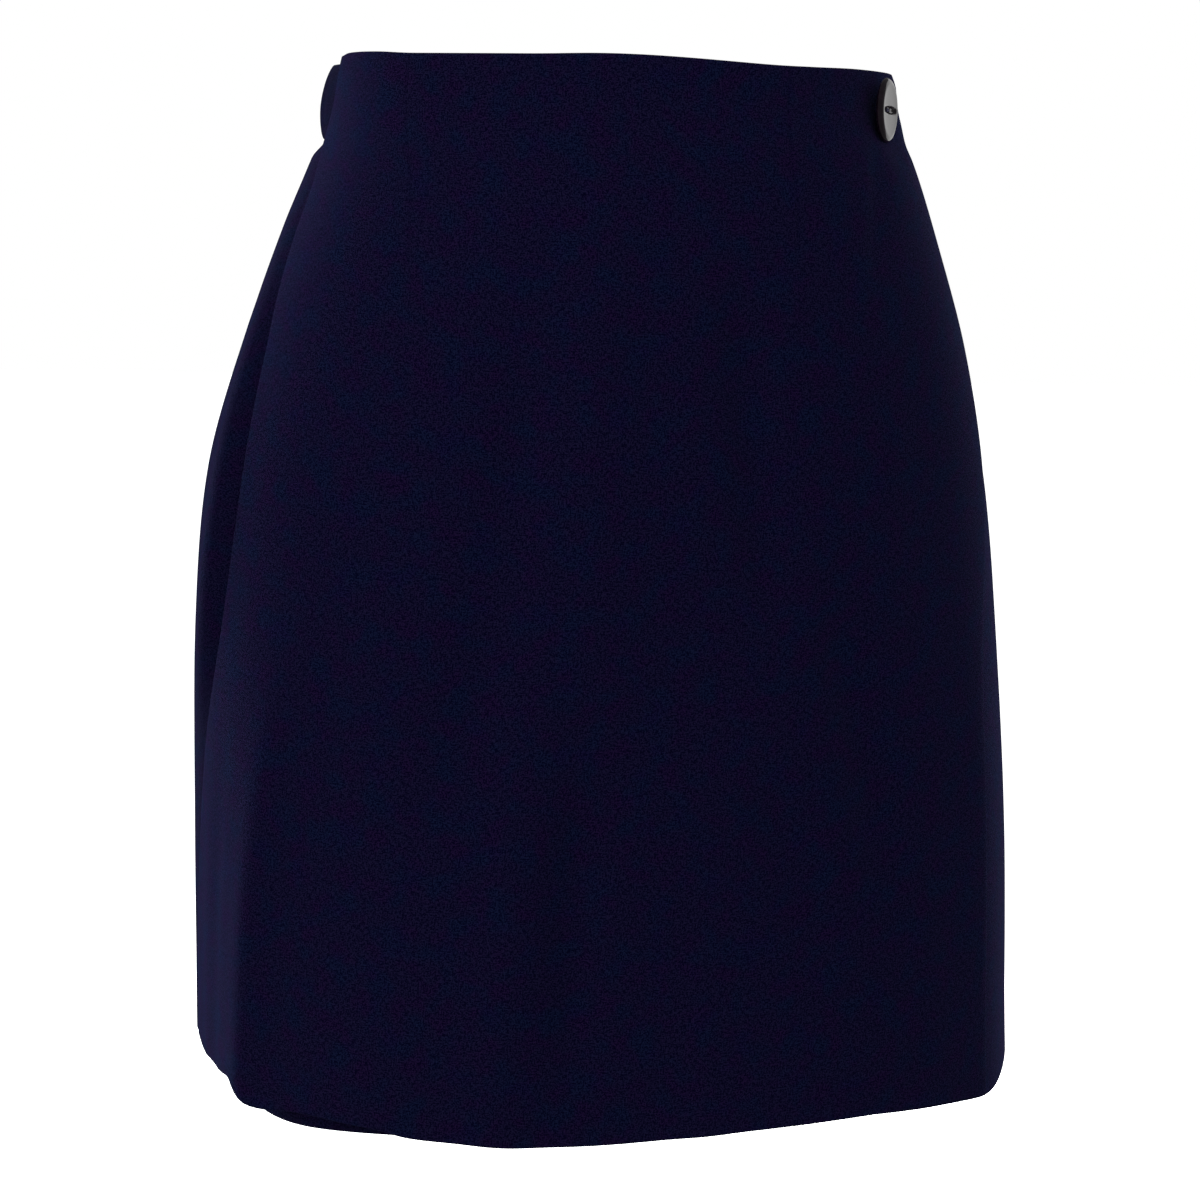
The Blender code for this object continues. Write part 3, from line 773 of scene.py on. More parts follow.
def build_cloth(cloth, material, thickness):
    """A sheet through the cloth's face, with its edges turned under, a wall and a flat map in metres."""
    columns = stations(cloth.turns["start"], cloth.turns["end"], cloth.segments[0], cloth.spacing)
    rows = stations(cloth.turns["hem"], cloth.turns["top"], cloth.segments[1], cloth.spacing, cloth.crowding)
    across, up = len(columns.share) - 1, len(rows.share) - 1
    shape = bmesh.new()
    bmesh.ops.create_grid(shape, x_segments=across, y_segments=up, size=1)
    shape.loops.layers.uv.new(CLOTH_MAP)
    mesh = finished_mesh(cloth.node + "_cloth", shape)

    corners = np.empty(len(mesh.vertices) * 3, np.float32)
    mesh.vertices.foreach_get("co", corners)
    corners = corners.reshape(-1, 3)
    column = np.rint((corners[:, 0] + 1) / 2 * across).astype(int)
    row = np.rint((corners[:, 1] + 1) / 2 * up).astype(int)

    high, low = cloth.top(columns.share[column]), cloth.hem(columns.share[column])
    drop = low - rows.share[row] * (low - high) - rows.offset[row]
    width = width_at(cloth.face, drop)
    u = columns.share[column] + columns.offset[column] / width
    points = cloth.face(u, drop)
    depth = np.maximum(columns.depth[column], rows.depth[row])
    turned = depth > 0
    away = outward(cloth.face, u[turned], drop[turned], width[turned])
    points[turned] -= away * depth[turned, None]
    points += np.array(cloth.nudge)
    check_place(points, cloth.node)
    mesh.vertices.foreach_set("co", points.astype(np.float32).ravel())

    loop_corner = np.empty(len(mesh.loops), np.int32)
    mesh.loops.foreach_get("vertex_index", loop_corner)
    flat_map = laid_flat(points, row, column, rows)[loop_corner]
    mesh.uv_layers[CLOTH_MAP].data.foreach_set("uv", flat_map.astype(np.float32).ravel())

    # Each side allowance ends where the turned hem and the turned top cover it
    side, end = columns.under[column], rows.under[row]
    over_hem = low - drop < cloth.turns["hem"].allowance + cloth.turns["hem"].radius
    over_top = drop - high < cloth.turns["top"].allowance + cloth.turns["top"].radius
    cut_away(mesh, ((side > 0) & (end == 2)) | ((side == 2) & ((end > 0) | over_hem | over_top)))

    piece = smooth_object(mesh, material)
    wall = piece.modifiers.new("Thickness", "SOLIDIFY")
    wall.thickness = thickness
    wall.offset = -1
    declare_cloth(piece, cloth, columns)


def laid_flat(points, row, column, rows):
    """Where each point lies on the flat cloth: how far along its row from the middle column, and how far
    up its column from the top edge, both measured along the cloth."""
    grid = np.empty((row.max() + 1, column.max() + 1, 3))
    grid[row, column] = points
    along = np.linalg.norm(np.diff(grid, axis=1), axis=2).cumsum(axis=1)
    along = np.pad(along, ((0, 0), (1, 0)))
    up = np.linalg.norm(np.diff(grid, axis=0), axis=2).cumsum(axis=0)
    up = np.pad(up, ((1, 0), (0, 0)))
    along -= along[:, [along.shape[1] // 2]]
    up -= up[[np.flatnonzero(rows.share < 1)[-1]]]
    return np.stack([along[row, column], up[row, column]], axis=1)


def cut_away(mesh, surplus):
    """Takes the points that are marked as surplus out of a mesh."""
    shape = bmesh.new()
    shape.from_mesh(mesh)
    shape.verts.ensure_lookup_table()
    marked = [shape.verts[index] for index in np.flatnonzero(surplus)]
    bmesh.ops.delete(shape, geom=marked, context="VERTS")
    shape.to_mesh(mesh)
    shape.free()


def check_place(points, node):
    """A piece that strays from its solid stops the script."""
    low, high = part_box(node)
    if (points < np.array(low) - STRAY).any() or (points > np.array(high) + STRAY).any():
        raise ValueError(f"the cloth for {node} strays more than {STRAY / MM:.0f} mm from its solid")


def declare_cloth(piece, cloth, columns):
    """Works out the flat widths that the piece is cut to but keeps them nowhere, hangs the piece on the body,
    hides its solid and looks up its slot in the record, which must have one.
    """
    high, low = cloth.top(0.5), cloth.hem(0.5)
    widths = width_at(cloth.face, np.linspace(high, low, WIDTH_ROWS)) + columns.path[-1] - columns.path[0]
    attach(piece, BODY)
    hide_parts(cloth.node)
    slot_of(cloth.node)


def slot_of(node):
    for part in frame["record"]["subparts"]:
        if part["node"] == node:
            return part["material_slot"]
    raise ValueError(f"the record has no sub-part for {node}")


# Materials


def adds_node(operation, swapped=False):
    """A method of Value that adds this Math node. It is swapped where the number stands before the Value."""

    def method(value, other):
        pair = (other, value) if swapped else (value, other)
        return value.shader.math(operation, *pair)

    return method


class Value:
    """A number that a material's nodes work out. Python's arithmetic on it adds Math nodes."""

    def __init__(self, shader, socket):
        self.shader = shader
        self.socket = socket

    def __neg__(self):
        return self * -1

    __add__, __radd__ = adds_node("ADD"), adds_node("ADD", swapped=True)
    __sub__, __rsub__ = adds_node("SUBTRACT"), adds_node("SUBTRACT", swapped=True)
    __mul__, __rmul__ = adds_node("MULTIPLY"), adds_node("MULTIPLY", swapped=True)
    __truediv__, __rtruediv__ = adds_node("DIVIDE"), adds_node("DIVIDE", swapped=True)
    __pow__, __rpow__ = adds_node("POWER"), adds_node("POWER", swapped=True)


class Shader:
    """A material whose nodes are added from Python."""

    def __init__(self, name):
        self.material = bpy.data.materials.new(name)
        self.material.use_nodes = True
        self.tree = self.material.node_tree
        self.surface = self.tree.nodes["Principled BSDF"]

    def node(self, kind, settings=None, sockets=None, out=0):
        """Adds a node: its settings first, then its sockets' values or links. Returns one of its outputs."""
        node = self.tree.nodes.new(kind)
        for name, value in (settings or {}).items():
            setattr(node, name, value)
        for name, value in (sockets or {}).items():
            self.feed(node.inputs[name], value)
        return Value(self, node.outputs[out])

    def feed(self, socket, value):
        if isinstance(value, Value):
            self.tree.links.new(value.socket, socket)
        else:
            socket.default_value = value

    def math(self, operation, *values):
        return self.node("ShaderNodeMath", {"operation": operation}, dict(enumerate(values)))

    def noise(self, vector, scale, detail, distortion=0.0):
        sockets = {"Vector": vector, "Scale": scale, "Detail": detail, "Distortion": distortion}
        return self.node("ShaderNodeTexNoise", None, sockets)

    def on_object(self):
        """Places in the object's own coordinates."""
        return self.node("ShaderNodeTexCoord", out=3)

    def stretched(self, vector, scale):
        return self.node("ShaderNodeMapping", None, {"Vector": vector, "Scale": scale})

    def mix_colour(self, factor, first, second, blend="MIX"):
        settings = {"data_type": "RGBA", "blend_type": blend}
        return self.node("ShaderNodeMix", settings, {0: factor, 6: first, 7: second}, out=2)

    def between(self, value, low, high):
        """0 below low, 1 above high and smooth between."""
        settings = {"interpolation_type": "SMOOTHSTEP"}
        return self.node("ShaderNodeMapRange", settings, {"Value": value, "From Min": low, "From Max": high})

    def set(self, **sockets):
        """Sets or links sockets of the surface, whose names are given with _ for each space."""
        for name, value in sockets.items():
            self.feed(self.surface.inputs[name.replace("_", " ")], value)


def rgba(colour, strength=1.0):
    return (*(strength * part for part in colour), 1.0)


def weave_height(shader, x, y, pitch, flat):
    """Threads of a plain weave, in parts of a thread's height, bent a little by their own unevenness."""
    bend = shader.noise(flat, THREAD_BEND_SCALE, detail=2.0)
    warp = shader.math("SINE", x * (pi / pitch) + bend * WARP_BEND)
    weft = shader.math("SINE", y * (pi / pitch) + bend * WEFT_BEND)
    warp_round = shader.math("ABSOLUTE", warp) ** THREAD_POWER
    weft_round = shader.math("ABSOLUTE", weft) ** THREAD_POWER
    return warp_round * weft_round + warp * weft * OVER_HEIGHT


def suiting(name, settings, colours, darts=(), depth=1.0):
    """Fine plain-weave suiting, uneven in its threads, with pressed darts where it has any. Its colours are
    multiplied by depth, which makes darker or lighter copies of the one suiting as painted shade or painted
    light."""
    shader = Shader(name)
    flat = shader.node("ShaderNodeUVMap", {"uv_map": CLOTH_MAP})
    x = shader.node("ShaderNodeSeparateXYZ", None, {"Vector": flat})
    y = Value(shader, x.socket.node.outputs[1])
    height = weave_height(shader, x, y, settings.thread_pitch, flat) * (settings.weave_depth / MM)

    warp_shade = shader.noise(shader.stretched(flat, (1, 1 / THREAD_STRETCH, 1)), THREAD_SCALE, detail=1.0)
    weft_shade = shader.noise(shader.stretched(flat, (1 / THREAD_STRETCH, 1, 1)), THREAD_SCALE, detail=1.0)
    fleck = shader.noise(flat, FLECK_SCALE, detail=1.0)
    tone = shader.between(warp_shade * 0.25 + weft_shade * 0.25 + fleck * 0.5, *TONE_RANGE)
    # depth darkens the threads' colours as painted shade below 1, and lightens them as painted light above 1
    colour = shader.mix_colour(tone, rgba(colours.cloth_dark, depth), rgba(colours.cloth_light, depth))
    for scale, cast in ((WARM_SCALE, colours.warm_cast), (COOL_SCALE, colours.cool_cast)):
        cloud = shader.between(shader.noise(flat, scale, detail=3.0), *CAST_RANGE)
        colour = shader.mix_colour(cloud, colour, rgba(cast), "MULTIPLY")

    for dart in darts:
        slope = (dart.end_x - dart.start_x) / (dart.end_drop - dart.start_drop)
        off = x + (y + dart.start_drop) * slope - dart.start_x
        down = (-y - dart.start_drop) / (dart.end_drop - dart.start_drop)
        fade = shader.between(down, *DART_FADE)
        groove = (1 - shader.between(shader.math("ABSOLUTE", off), *GROOVE_EDGES)) * fade
        lip = (1 - shader.between(shader.math("ABSOLUTE", off - LIP_PLACE), *LIP_EDGES)) * fade
        height = height - groove * GROOVE_DEPTH + lip * LIP_HEIGHT
        # Painted shade: the colour in the dart's groove is darkened towards the dark threads
        colour = shader.mix_colour(groove * GROOVE_PAINTED_SHADE, colour, rgba(colours.cloth_dark))

    bump = shader.node("ShaderNodeBump", None, {"Strength": 1.0, "Distance": MM, "Height": height})
    shader.set(
        Base_Color=colour,
        Normal=bump,
        Roughness=0.92,
        Specular_IOR_Level=colours.cloth_gloss,
        Sheen_Weight=colours.sheen,
        Sheen_Roughness=0.45,
        Sheen_Tint=rgba(colours.sheen_tint),
    )
    return shader.material


def button_resin(colours):
    """Dark polished resin with a faint brown swirl in it."""
    shader = Shader("dark_button_resin")
    swirl = shader.noise(shader.on_object(), scale=120.0, detail=4.0, distortion=1.6)
    brown = rgba(colours.button, 2.2)
    colour = shader.mix_colour(shader.between(swirl, 0.45, 0.75) * 0.6, rgba(colours.button), brown)
    roughness = 0.05 + shader.between(swirl, 0.3, 0.8) * 0.05
    shader.set(Base_Color=colour, Roughness=roughness, Specular_IOR_Level=colours.button_gloss)
    return shader.material


def navy_thread(colours):
    """Twisted thread, a little paler than the cloth."""
    shader = Shader("navy_thread")
    twist = shader.noise(shader.on_object(), scale=2500.0, detail=1.0)
    colour = shader.mix_colour(twist, rgba(colours.cloth_dark), rgba(colours.cloth_light, 3))
    shader.set(Base_Color=colour, Roughness=0.6)
    return shader.material


def pale_floor(colours):
    """A white floor that glows, as a light box does."""
    shader = Shader("pale_floor")
    grain = shader.noise(shader.on_object(), scale=3.0, detail=2.0)
    colour = shader.mix_colour(grain, rgba(colours.floor), rgba(colours.floor, 0.98))
    shader.set(Base_Color=colour, Emission_Color=colour, Emission_Strength=colours.floor_glow, Roughness=1.0)
    return shader.material


# What a user may change


def length_setting(name, description, default):
    return FloatProperty(
        name=name, description=description, default=default, unit="LENGTH", subtype="DISTANCE"
    )


def angle_setting(name, description, degrees):
    return FloatProperty(
        name=name, description=description, default=radians(degrees), unit="ROTATION", subtype="ANGLE"
    )


def power_setting(name, description, default):
    return FloatProperty(name=name, description=description, default=default, unit="POWER")


def factor_setting(name, description, default):
    return FloatProperty(
        name=name, description=description, default=default, min=0, max=1, subtype="FACTOR"
    )


def colour_setting(name, description, default, most=1):
    return FloatVectorProperty(
        name=name, description=description, default=default, min=0, max=most, subtype="COLOR"
    )


class SkortCloth(bpy.types.PropertyGroup):
    """Sizes of the cloth and of its edges."""

    thickness: length_setting("Cloth thickness", "Thickness of one layer of the suiting", 0.7 * MM)
    turn_radius: length_setting(
        "Turn radius", "Radius of the outer side where the cloth is turned under at an edge", 0.8 * MM
    )
    hem_turn: length_setting("Hem turn-up", "Height of the hem that is turned up inside", 32 * MM)
    front_facing: length_setting(
        "Front facing", "Width of the turn-under at the panel's free edge and top edge", 28 * MM
    )
    seam_allowance: length_setting(
        "Seam allowance", "Width of the cloth pressed open inside each seam", 9 * MM
    )
    casing_puff: length_setting(
        "Waistband puff", "How far the elastic waistband swells out between its edges", 2.0 * MM
    )
    flute_depth: length_setting(
        "Gather depth", "Half the height of the gathers on the elastic waistband", 1.6 * MM
    )
    thread_pitch: length_setting(
        "Thread pitch", "Distance between neighbouring threads of the weave", 0.55 * MM
    )
    weave_depth: length_setting("Weave depth", "Height of the threads over the gaps between them", 0.1 * MM)
    panel_columns: IntProperty(name="Panel columns", description="Faces across the wrap panel", default=170)
    panel_rows: IntProperty(name="Panel rows", description="Faces down the wrap panel", default=172)


class SkortColours(bpy.types.PropertyGroup):
    """Colours and gloss of the cloth, the button and the floor."""

    cloth_dark: colour_setting(
        "Cloth, dark threads", "Colour of the darker threads", (0.0013, 0.0011, 0.0106)
    )
    cloth_light: colour_setting(
        "Cloth, light threads", "Colour of the lighter threads", (0.0091, 0.0073, 0.0315)
    )
    warm_cast: colour_setting(
        "Cloth, warm cast",
        "What the soft purplish clouds in the cloth multiply its colour by",
        (1.30, 0.76, 1.03),
        most=2,
    )
    cool_cast: colour_setting(
        "Cloth, cool cast",
        "What the soft greenish clouds in the cloth multiply its colour by",
        (0.66, 1.24, 1.1),
        most=2,
    )
    cloth_gloss: factor_setting("Cloth gloss", "Strength of the cloth's plain reflection", 0.0)
    sheen: factor_setting("Sheen", "Strength of the bloom where the cloth turns away", 0.025)
    sheen_tint: colour_setting("Sheen colour", "Colour of the bloom", (0.6, 0.68, 1.0))
    button: colour_setting("Button", "Colour of the button", (0.006, 0.003, 0.006))
    button_gloss: factor_setting(
        "Button gloss", "Strength of the button's plain reflection, 0.5 being that of resin", 0.42
    )
    floor: colour_setting("Floor", "Colour of the floor", (0.92, 0.92, 0.92))
    floor_glow: FloatProperty(
        name="Floor glow", description="Strength of the light box under the floor", default=0.9, min=0
    )


class SkortStage(bpy.types.PropertyGroup):
    """The camera and the lights."""

    distance: length_setting(
        "Camera distance", "Distance from the camera to the middle of the waist, on the level", 1.18
    )
    azimuth: angle_setting("Camera azimuth", "How far round to the wearer's left the camera stands", -14)
    tilt: angle_setting("Camera tilt", "How far the camera looks down", 8.8)
    roll: angle_setting("Camera roll", "How far the camera leans to its left", 1.8)
    camera_drop: length_setting(
        "Camera drop", "How far the camera is below the top edge of the waist", 56.6 * MM
    )
    lens: FloatProperty(
        name="Lens", description="Focal length on a sensor 36 mm wide, in millimetres", default=78.6
    )
    right_rim: angle_setting("Right rim bearing", "Bearing of the light behind the wearer's right side", -138)
    left_rim: angle_setting("Left rim bearing", "Bearing of the light behind the wearer's left side", 131)
    right_power: power_setting("Right rim power", "Power of the light behind the wearer's right side", 73.0)
    left_power: power_setting("Left rim power", "Power of the light behind the wearer's left side", 116.0)
    front_light: power_setting("Front light", "Power of the light before the wearer's right side", 14.0)
    top_light: power_setting("Top light", "Power of the light over the front of the waist", 4.0)
    card: power_setting("White card", "Power of the card that the button mirrors", 3.0)
    mirrored: FloatProperty(
        name="Mirrored surround",
        description="Strength of the surround where the button mirrors it",
        default=0.14,
    )
    surround: FloatProperty(
        name="Surround", description="Strength of the even light from all round", default=0.545
    )


# Operators


class SkortPiece:
    """What the operators share: the settings, and the turns of a seam, a hem and a facing."""

    bl_options = {"REGISTER", "UNDO"}

    def turns(self, context):
        settings = context.scene.skort_cloth
        radius = settings.turn_radius
        return {
            "seam": Turn(settings.seam_allowance, radius),
            "hem": Turn(settings.hem_turn, radius),
            "facing": Turn(settings.front_facing, radius),
        }


class SKORT_OT_wrap_panel(SkortPiece, bpy.types.Operator):
    """Lays the wrap panel over the front, sewn at the right and free at the left."""

    bl_idname = "skort.wrap_panel"
    bl_label = "Wrap panel"

    def execute(self, context):
        settings, colours = context.scene.skort_cloth, context.scene.skort_colours
        turn = self.turns(context)
        cloth = Cloth(
            node="front_wrap_panel",
            face=panel_face,
            top=panel_top,
            hem=panel_hem,
            turns={"start": turn["seam"], "end": turn["facing"], "hem": turn["hem"], "top": turn["facing"]},
            segments=(settings.panel_columns, settings.panel_rows),
            spacing=3 * MM,
            nudge=(0, SEAM_PRESS / 2, 0),
            crowding=0,
        )
        build_cloth(cloth, suiting("navy_suiting_panel", settings, colours, DARTS), settings.thickness)
        return {"FINISHED"}


class SKORT_OT_shorts(SkortPiece, bpy.types.Operator):
    """Lays the four quarters of the shorts round the legs."""

    bl_idname = "skort.shorts"
    bl_label = "Shorts"

    def execute(self, context):
        settings, colours = context.scene.skort_cloth, context.scene.skort_colours
        turn = self.turns(context)
        raw_edge = Turn(RAW_EDGE, RAW_RADIUS)
        for quarter in QUARTERS:
            in_front = quarter.end == 0
            top = turn["seam"] if in_front else raw_edge
            backwards = 1 if in_front else -1
            cloth = Cloth(
                node=quarter.node,
                face=quarter_face(quarter),
                top=level_line(quarter.top),
                hem=quarter_hem(quarter),
                turns={"start": turn["seam"], "end": turn["seam"], "hem": turn["hem"], "top": top},
                segments=(76, 128),
                spacing=3.5 * MM,
                nudge=(-quarter.side * SEAM_PRESS / 2, backwards * SEAM_PRESS / 2, 0),
                crowding=0 if in_front else 0.5,
            )
            # Each quarter's suiting is darkened as painted shade or lightened as painted light by its depth
            material = suiting(quarter.suiting, settings, colours, depth=quarter.depth)
            build_cloth(cloth, material, settings.thickness)
        return {"FINISHED"}


class SKORT_OT_waistband(SkortPiece, bpy.types.Operator):
    """Lays the gathered elastic waistband across the back."""

    bl_idname = "skort.waistband"
    bl_label = "Elastic waistband"

    def execute(self, context):
        settings, colours = context.scene.skort_cloth, context.scene.skort_colours
        seam = self.turns(context)["seam"]
        over_the_top = Turn(WAISTBAND_HEIGHT - CASING_FOLD_SHORT, CASING_FOLD_RADIUS)
        cloth = Cloth(
            node="back_waistband",
            face=casing_face(settings),
            top=level_line(CASING_TOP),
            hem=level_line(CASING_TOP + WAISTBAND_HEIGHT),
            turns={"start": seam, "end": seam, "hem": seam, "top": over_the_top},
            segments=(330, 20),
            spacing=3 * MM,
            nudge=(0, -SEAM_PRESS / 2, 0),
            crowding=0,
        )
        # The waistband's colours are darkened to 0.6 as painted shade, though its cloth is the same suiting
        material = suiting("navy_suiting_waistband", settings, colours, depth=0.6)
        build_cloth(cloth, material, settings.thickness)
        return {"FINISHED"}


class SKORT_OT_button(SkortPiece, bpy.types.Operator):
    """Turns the button, sinks its eye and its holes, and sews it on with navy thread."""

    bl_idname = "skort.button"
    bl_label = "Button"

    def execute(self, context):
        colours = context.scene.skort_colours
        seat = button_seat()
        disc = add_piece("button_disc", button_disc(), seat, button_resin(colours))
        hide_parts("button")
        add_piece("button_thread", button_thread(), seat, navy_thread(colours))
        return {"FINISHED"}


def button_seat():
    """Where the button sits: on the panel near its free edge, tipped and turned a little on its thread."""
    drop = np.array(BUTTON_DROP)

    def on_panel(bearing, lower):
        first, last = sewn_edge_at(drop + lower), free_edge_at(drop + lower)
        return Vector(panel_face((bearing - first) / (last - first), drop + lower))

    along = on_panel(BUTTON_BEARING + SEAT_DEGREES, 0) - on_panel(BUTTON_BEARING - SEAT_DEGREES, 0)
    up = on_panel(BUTTON_BEARING, -SEAT_DROP) - on_panel(BUTTON_BEARING, SEAT_DROP)
    out = along.cross(up).normalized()
    across = along.normalized()
    level = Matrix((across, out.cross(across), out)).transposed().to_4x4()
    tip = Matrix.Rotation(BUTTON_TURN, 4, "Y") @ Matrix.Rotation(BUTTON_TIP, 4, "X")
    return Matrix.Translation(on_panel(BUTTON_BEARING, 0) + out * BUTTON_LIFT) @ level @ tip


def add_piece(name, shape, seat, material):
    """Puts a finished shape in its place as a piece of the skort."""
    bmesh.ops.transform(shape, matrix=seat, verts=shape.verts)
    piece = smooth_object(finished_mesh(name, shape), material)
    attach(piece, BODY)
    return piece


def eye_depth(x, y):
    """How deep the almond eye and the two holes in it are sunk in the button's face."""
    almond = 1 - (x / (EYE_LENGTH / 2)) ** 2 - (y / (EYE_HEIGHT / 2)) ** 2
    depth = EYE_DEPTH * np.sqrt(np.clip(almond, 0, 1))
    for hole in (-HOLE_SPACING / 2, HOLE_SPACING / 2):
        away = np.hypot(x - hole, y)
        depth = depth + HOLE_DEPTH * smoothstep((HOLE_RADIUS - away) / HOLE_ROUNDING)
    return depth


def button_disc():
    """A turned disc with a rounded rim and a shallow dished face, its eye and holes sunk in it."""
    shape = bmesh.new()
    step = np.concatenate([[0], *(np.linspace(*stretch)[1:] for stretch in RIM_STRETCHES)])
    along = column_at(BUTTON_RIM, "step", "along", step) * BUTTON_DIAMETER / 2
    up = column_at(BUTTON_RIM, "step", "up", step) * BUTTON_THICKNESS
    corners = [shape.verts.new((reach_out, 0, rise)) for reach_out, rise in zip(along, up)]
    geometry = corners + [shape.edges.new(pair) for pair in zip(corners, corners[1:])]
    full = {"cent": (0, 0, 0), "axis": (0, 0, 1), "angle": 2 * pi, "steps": BUTTON_SEGMENTS}
    bmesh.ops.spin(shape, geom=geometry, use_merge=True, **full)
    bmesh.ops.remove_doubles(shape, verts=shape.verts, dist=SMALL)
    bmesh.ops.recalc_face_normals(shape, faces=shape.faces)
    for corner in shape.verts:
        if corner.co.z > 0.5 * BUTTON_THICKNESS:
            corner.co.z -= float(eye_depth(corner.co.x, corner.co.y))
    return shape


def button_thread():
    """Four strands over the bridge between the holes, and the wound shank under the button."""
    shape = bmesh.new()
    bend_height = 0.5 * BUTTON_THICKNESS - STRAND_BEND_DROP
    sweep = np.arctan(HOLE_SPACING / 2 / STRAND_BEND_DROP)
    bend_radius = HOLE_SPACING / 2 / sin(sweep)
    for strand in STRANDS:
        centre = (0, strand, bend_height)
        ring = bmesh.ops.create_circle(shape, cap_ends=False, segments=8, radius=STRAND_RADIUS)["verts"]
        bmesh.ops.translate(shape, vec=(bend_radius, strand, bend_height), verts=ring)
        turn = Matrix.Rotation(sweep - pi / 2, 3, "Y")
        bmesh.ops.rotate(shape, cent=centre, matrix=turn, verts=ring)
        geometry = ring + list({edge for corner in ring for edge in corner.link_edges})
        arc = {"cent": centre, "axis": (0, 1, 0), "angle": -2 * sweep, "steps": 14}
        bmesh.ops.spin(shape, geom=geometry, use_merge=False, **arc)
    open_ends = [edge for edge in shape.edges if edge.is_boundary]
    bmesh.ops.holes_fill(shape, edges=open_ends, sides=0)
    cone = {"radius1": SHANK_BASE, "radius2": SHANK_NECK, "depth": BUTTON_LIFT + SHANK_OVERLAP}
    shank = bmesh.ops.create_cone(shape, cap_ends=True, segments=24, **cone)["verts"]
    bmesh.ops.translate(shape, vec=(0, 0, (SHANK_OVERLAP - BUTTON_LIFT) / 2), verts=shank)
    bmesh.ops.recalc_face_normals(shape, faces=shape.faces)
    return shape


class SKORT_OT_stage(bpy.types.Operator):
    """Sets the pale floor, the soft lights and the camera."""

    bl_idname = "skort.stage"
    bl_label = "Stage"

    def execute(self, context):
        scene, stage = context.scene, context.scene.skort_stage
        add_floor(scene.skort_colours)
        add_surround(scene, stage)
        middle = Vector((0, 0, (cad_box[0].z + cad_box[1].z) / 2))
        right_place = rim_place(stage.right_rim, RIGHT_RIM_HEIGHT)
        left_place = rim_place(stage.left_rim, LEFT_RIM_HEIGHT)
        for name, spot, size, strength in (
            ("right_rim_light", right_place, RIM_SIZE, stage.right_power),
            ("left_rim_light", left_place, RIM_SIZE, stage.left_power),
            ("front_light", Vector(FRONT_LIGHT_PLACE), FRONT_LIGHT_SIZE, stage.front_light),
            ("top_light", Vector(TOP_LIGHT_PLACE), TOP_LIGHT_SIZE, stage.top_light),
        ):
            add_light(name, spot, middle, size, strength).visible_glossy = False
        add_card(stage)
        add_camera(scene, stage)
        scene.view_settings.view_transform = "Standard"
        return {"FINISHED"}


def add_floor(colours):
    shape = bmesh.new()
    bmesh.ops.create_grid(shape, x_segments=1, y_segments=1, size=FLOOR_HALF)
    bmesh.ops.translate(shape, vec=(0, 0, FLOOR_HEIGHT), verts=shape.verts)
    floor = smooth_object(finished_mesh("floor", shape), pale_floor(colours))
    floor.visible_diffuse = False
    floor.visible_glossy = False


def white_light(background, strength):
    """Makes a Background node white, of this strength, and returns its output."""
    background.inputs["Color"].default_value = (1, 1, 1, 1)
    background.inputs["Strength"].default_value = strength
    return background.outputs[0]


def add_surround(scene, stage):
    """Even light from all round, dimmer where it is mirrored, and plain white where the camera sees it."""
    world = bpy.data.worlds.new("studio")
    scene.world = world
    world.use_nodes = True
    tree = world.node_tree
    ray = tree.nodes.new("ShaderNodeLightPath")
    light = white_light(tree.nodes["Background"], stage.surround)
    for kind, strength in (("Is Glossy Ray", stage.mirrored), ("Is Camera Ray", 1.0)):
        either = tree.nodes.new("ShaderNodeMixShader")
        tree.links.new(ray.outputs[kind], either.inputs[0])
        tree.links.new(light, either.inputs[1])
        tree.links.new(white_light(tree.nodes.new("ShaderNodeBackground"), strength), either.inputs[2])
        light = either.outputs[0]
    tree.links.new(light, tree.nodes["World Output"].inputs["Surface"])


def rim_place(bearing, height):
    return Vector((RIM_DISTANCE * sin(bearing), -RIM_DISTANCE * cos(bearing), height))


def add_light(name, spot, target, size, strength):
    light = bpy.data.lights.new(name, "AREA")
    light.shape = "RECTANGLE"
    light.size = size
    light.size_y = size * LIGHT_PROPORTION
    light.energy = strength
    lamp = bpy.data.objects.new(name, light)
    bpy.context.scene.collection.objects.link(lamp)
    lamp.location = spot
    lamp.rotation_euler = (target - spot).to_track_quat("-Z", "Y").to_euler()
    lamp.visible_camera = False
    return lamp


def add_card(stage):
    """A white card where the button's face mirrors it to the camera."""
    seat = button_seat()
    button = seat.translation
    facing = (seat.to_3x3() @ Vector((0, 0, 1))).normalized()
    to_camera = (camera_place(stage) - button).normalized()
    mirrored = 2 * facing.dot(to_camera) * facing - to_camera
    card = add_light("white_card", button + CARD_DISTANCE * mirrored, button, CARD_SIZE, stage.card)
    card.visible_diffuse = False


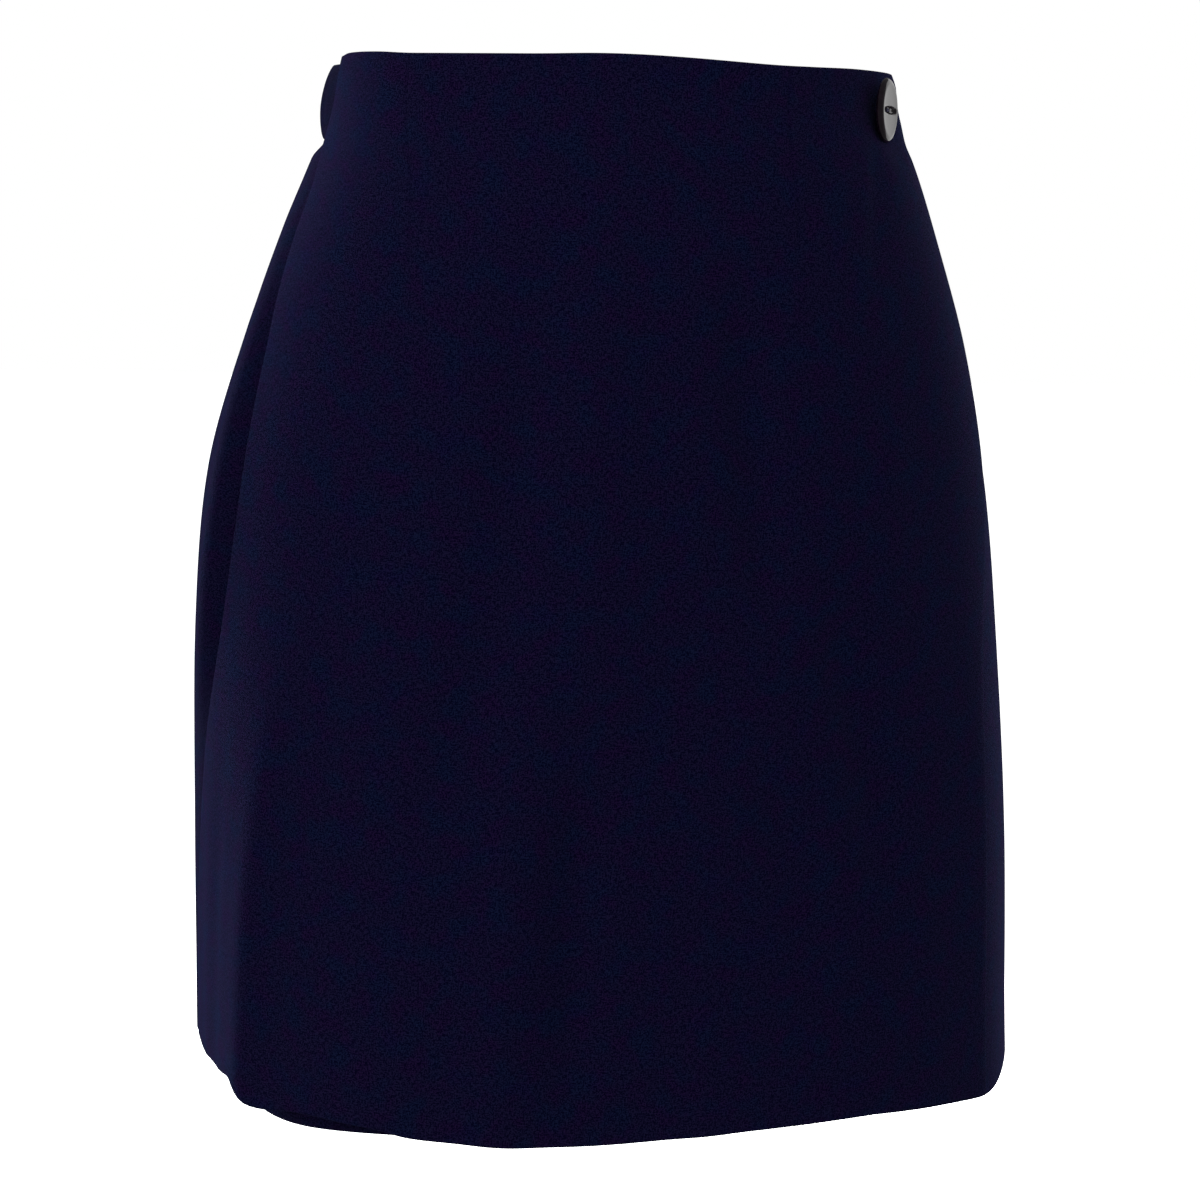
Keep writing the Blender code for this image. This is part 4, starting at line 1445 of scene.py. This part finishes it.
def camera_place(stage):
    away = Vector((sin(stage.azimuth), -cos(stage.azimuth), 0)) * stage.distance
    return away + Vector((0, 0, TOP - stage.camera_drop))


def add_camera(scene, stage):
    """The camera stands at the wearer's right front and leans a little."""
    camera = bpy.data.objects.new("camera", bpy.data.cameras.new("camera"))
    scene.collection.objects.link(camera)
    camera.data.sensor_width = SENSOR_WIDTH
    camera.data.lens = stage.lens
    camera.location = camera_place(stage)
    level = Matrix.Rotation(stage.azimuth, 4, "Z")
    tilt = Matrix.Rotation(pi / 2 - stage.tilt, 4, "X")
    roll = Matrix.Rotation(stage.roll, 4, "Z")
    camera.rotation_euler = (level @ tilt @ roll).to_euler()
    scene.camera = camera


GROUPS = {"skort_cloth": SkortCloth, "skort_colours": SkortColours, "skort_stage": SkortStage}
STEPS = (
    SKORT_OT_wrap_panel,
    SKORT_OT_shorts,
    SKORT_OT_waistband,
    SKORT_OT_button,
    SKORT_OT_stage,
)


class SKORT_PT_sidebar(bpy.types.Panel):
    """Lists the skort's operators and settings in the 3D view's sidebar."""

    bl_idname = "SKORT_PT_sidebar"
    bl_label = "Wrap-front skort"
    bl_space_type = "VIEW_3D"
    bl_region_type = "UI"
    bl_category = "Skort"

    def draw(self, context):
        for step in STEPS:
            self.layout.operator(step.bl_idname)
        for group_name, group in GROUPS.items():
            box = self.layout.box()
            for name in group.__annotations__:
                box.prop(getattr(context.scene, group_name), name)


CLASSES = (*GROUPS.values(), *STEPS, SKORT_PT_sidebar)


def register():
    for item in CLASSES:
        bpy.utils.register_class(item)
    for name, group in GROUPS.items():
        setattr(bpy.types.Scene, name, PointerProperty(type=group))


def unregister():
    for name in GROUPS:
        delattr(bpy.types.Scene, name)
    for item in reversed(CLASSES):
        bpy.utils.unregister_class(item)


def main():
    register()
    bpy.ops.skort.wrap_panel()
    bpy.ops.skort.shorts()
    bpy.ops.skort.waistband()
    bpy.ops.skort.button()
    bpy.ops.skort.stage()
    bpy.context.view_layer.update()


if __name__ == "__main__":
    main()
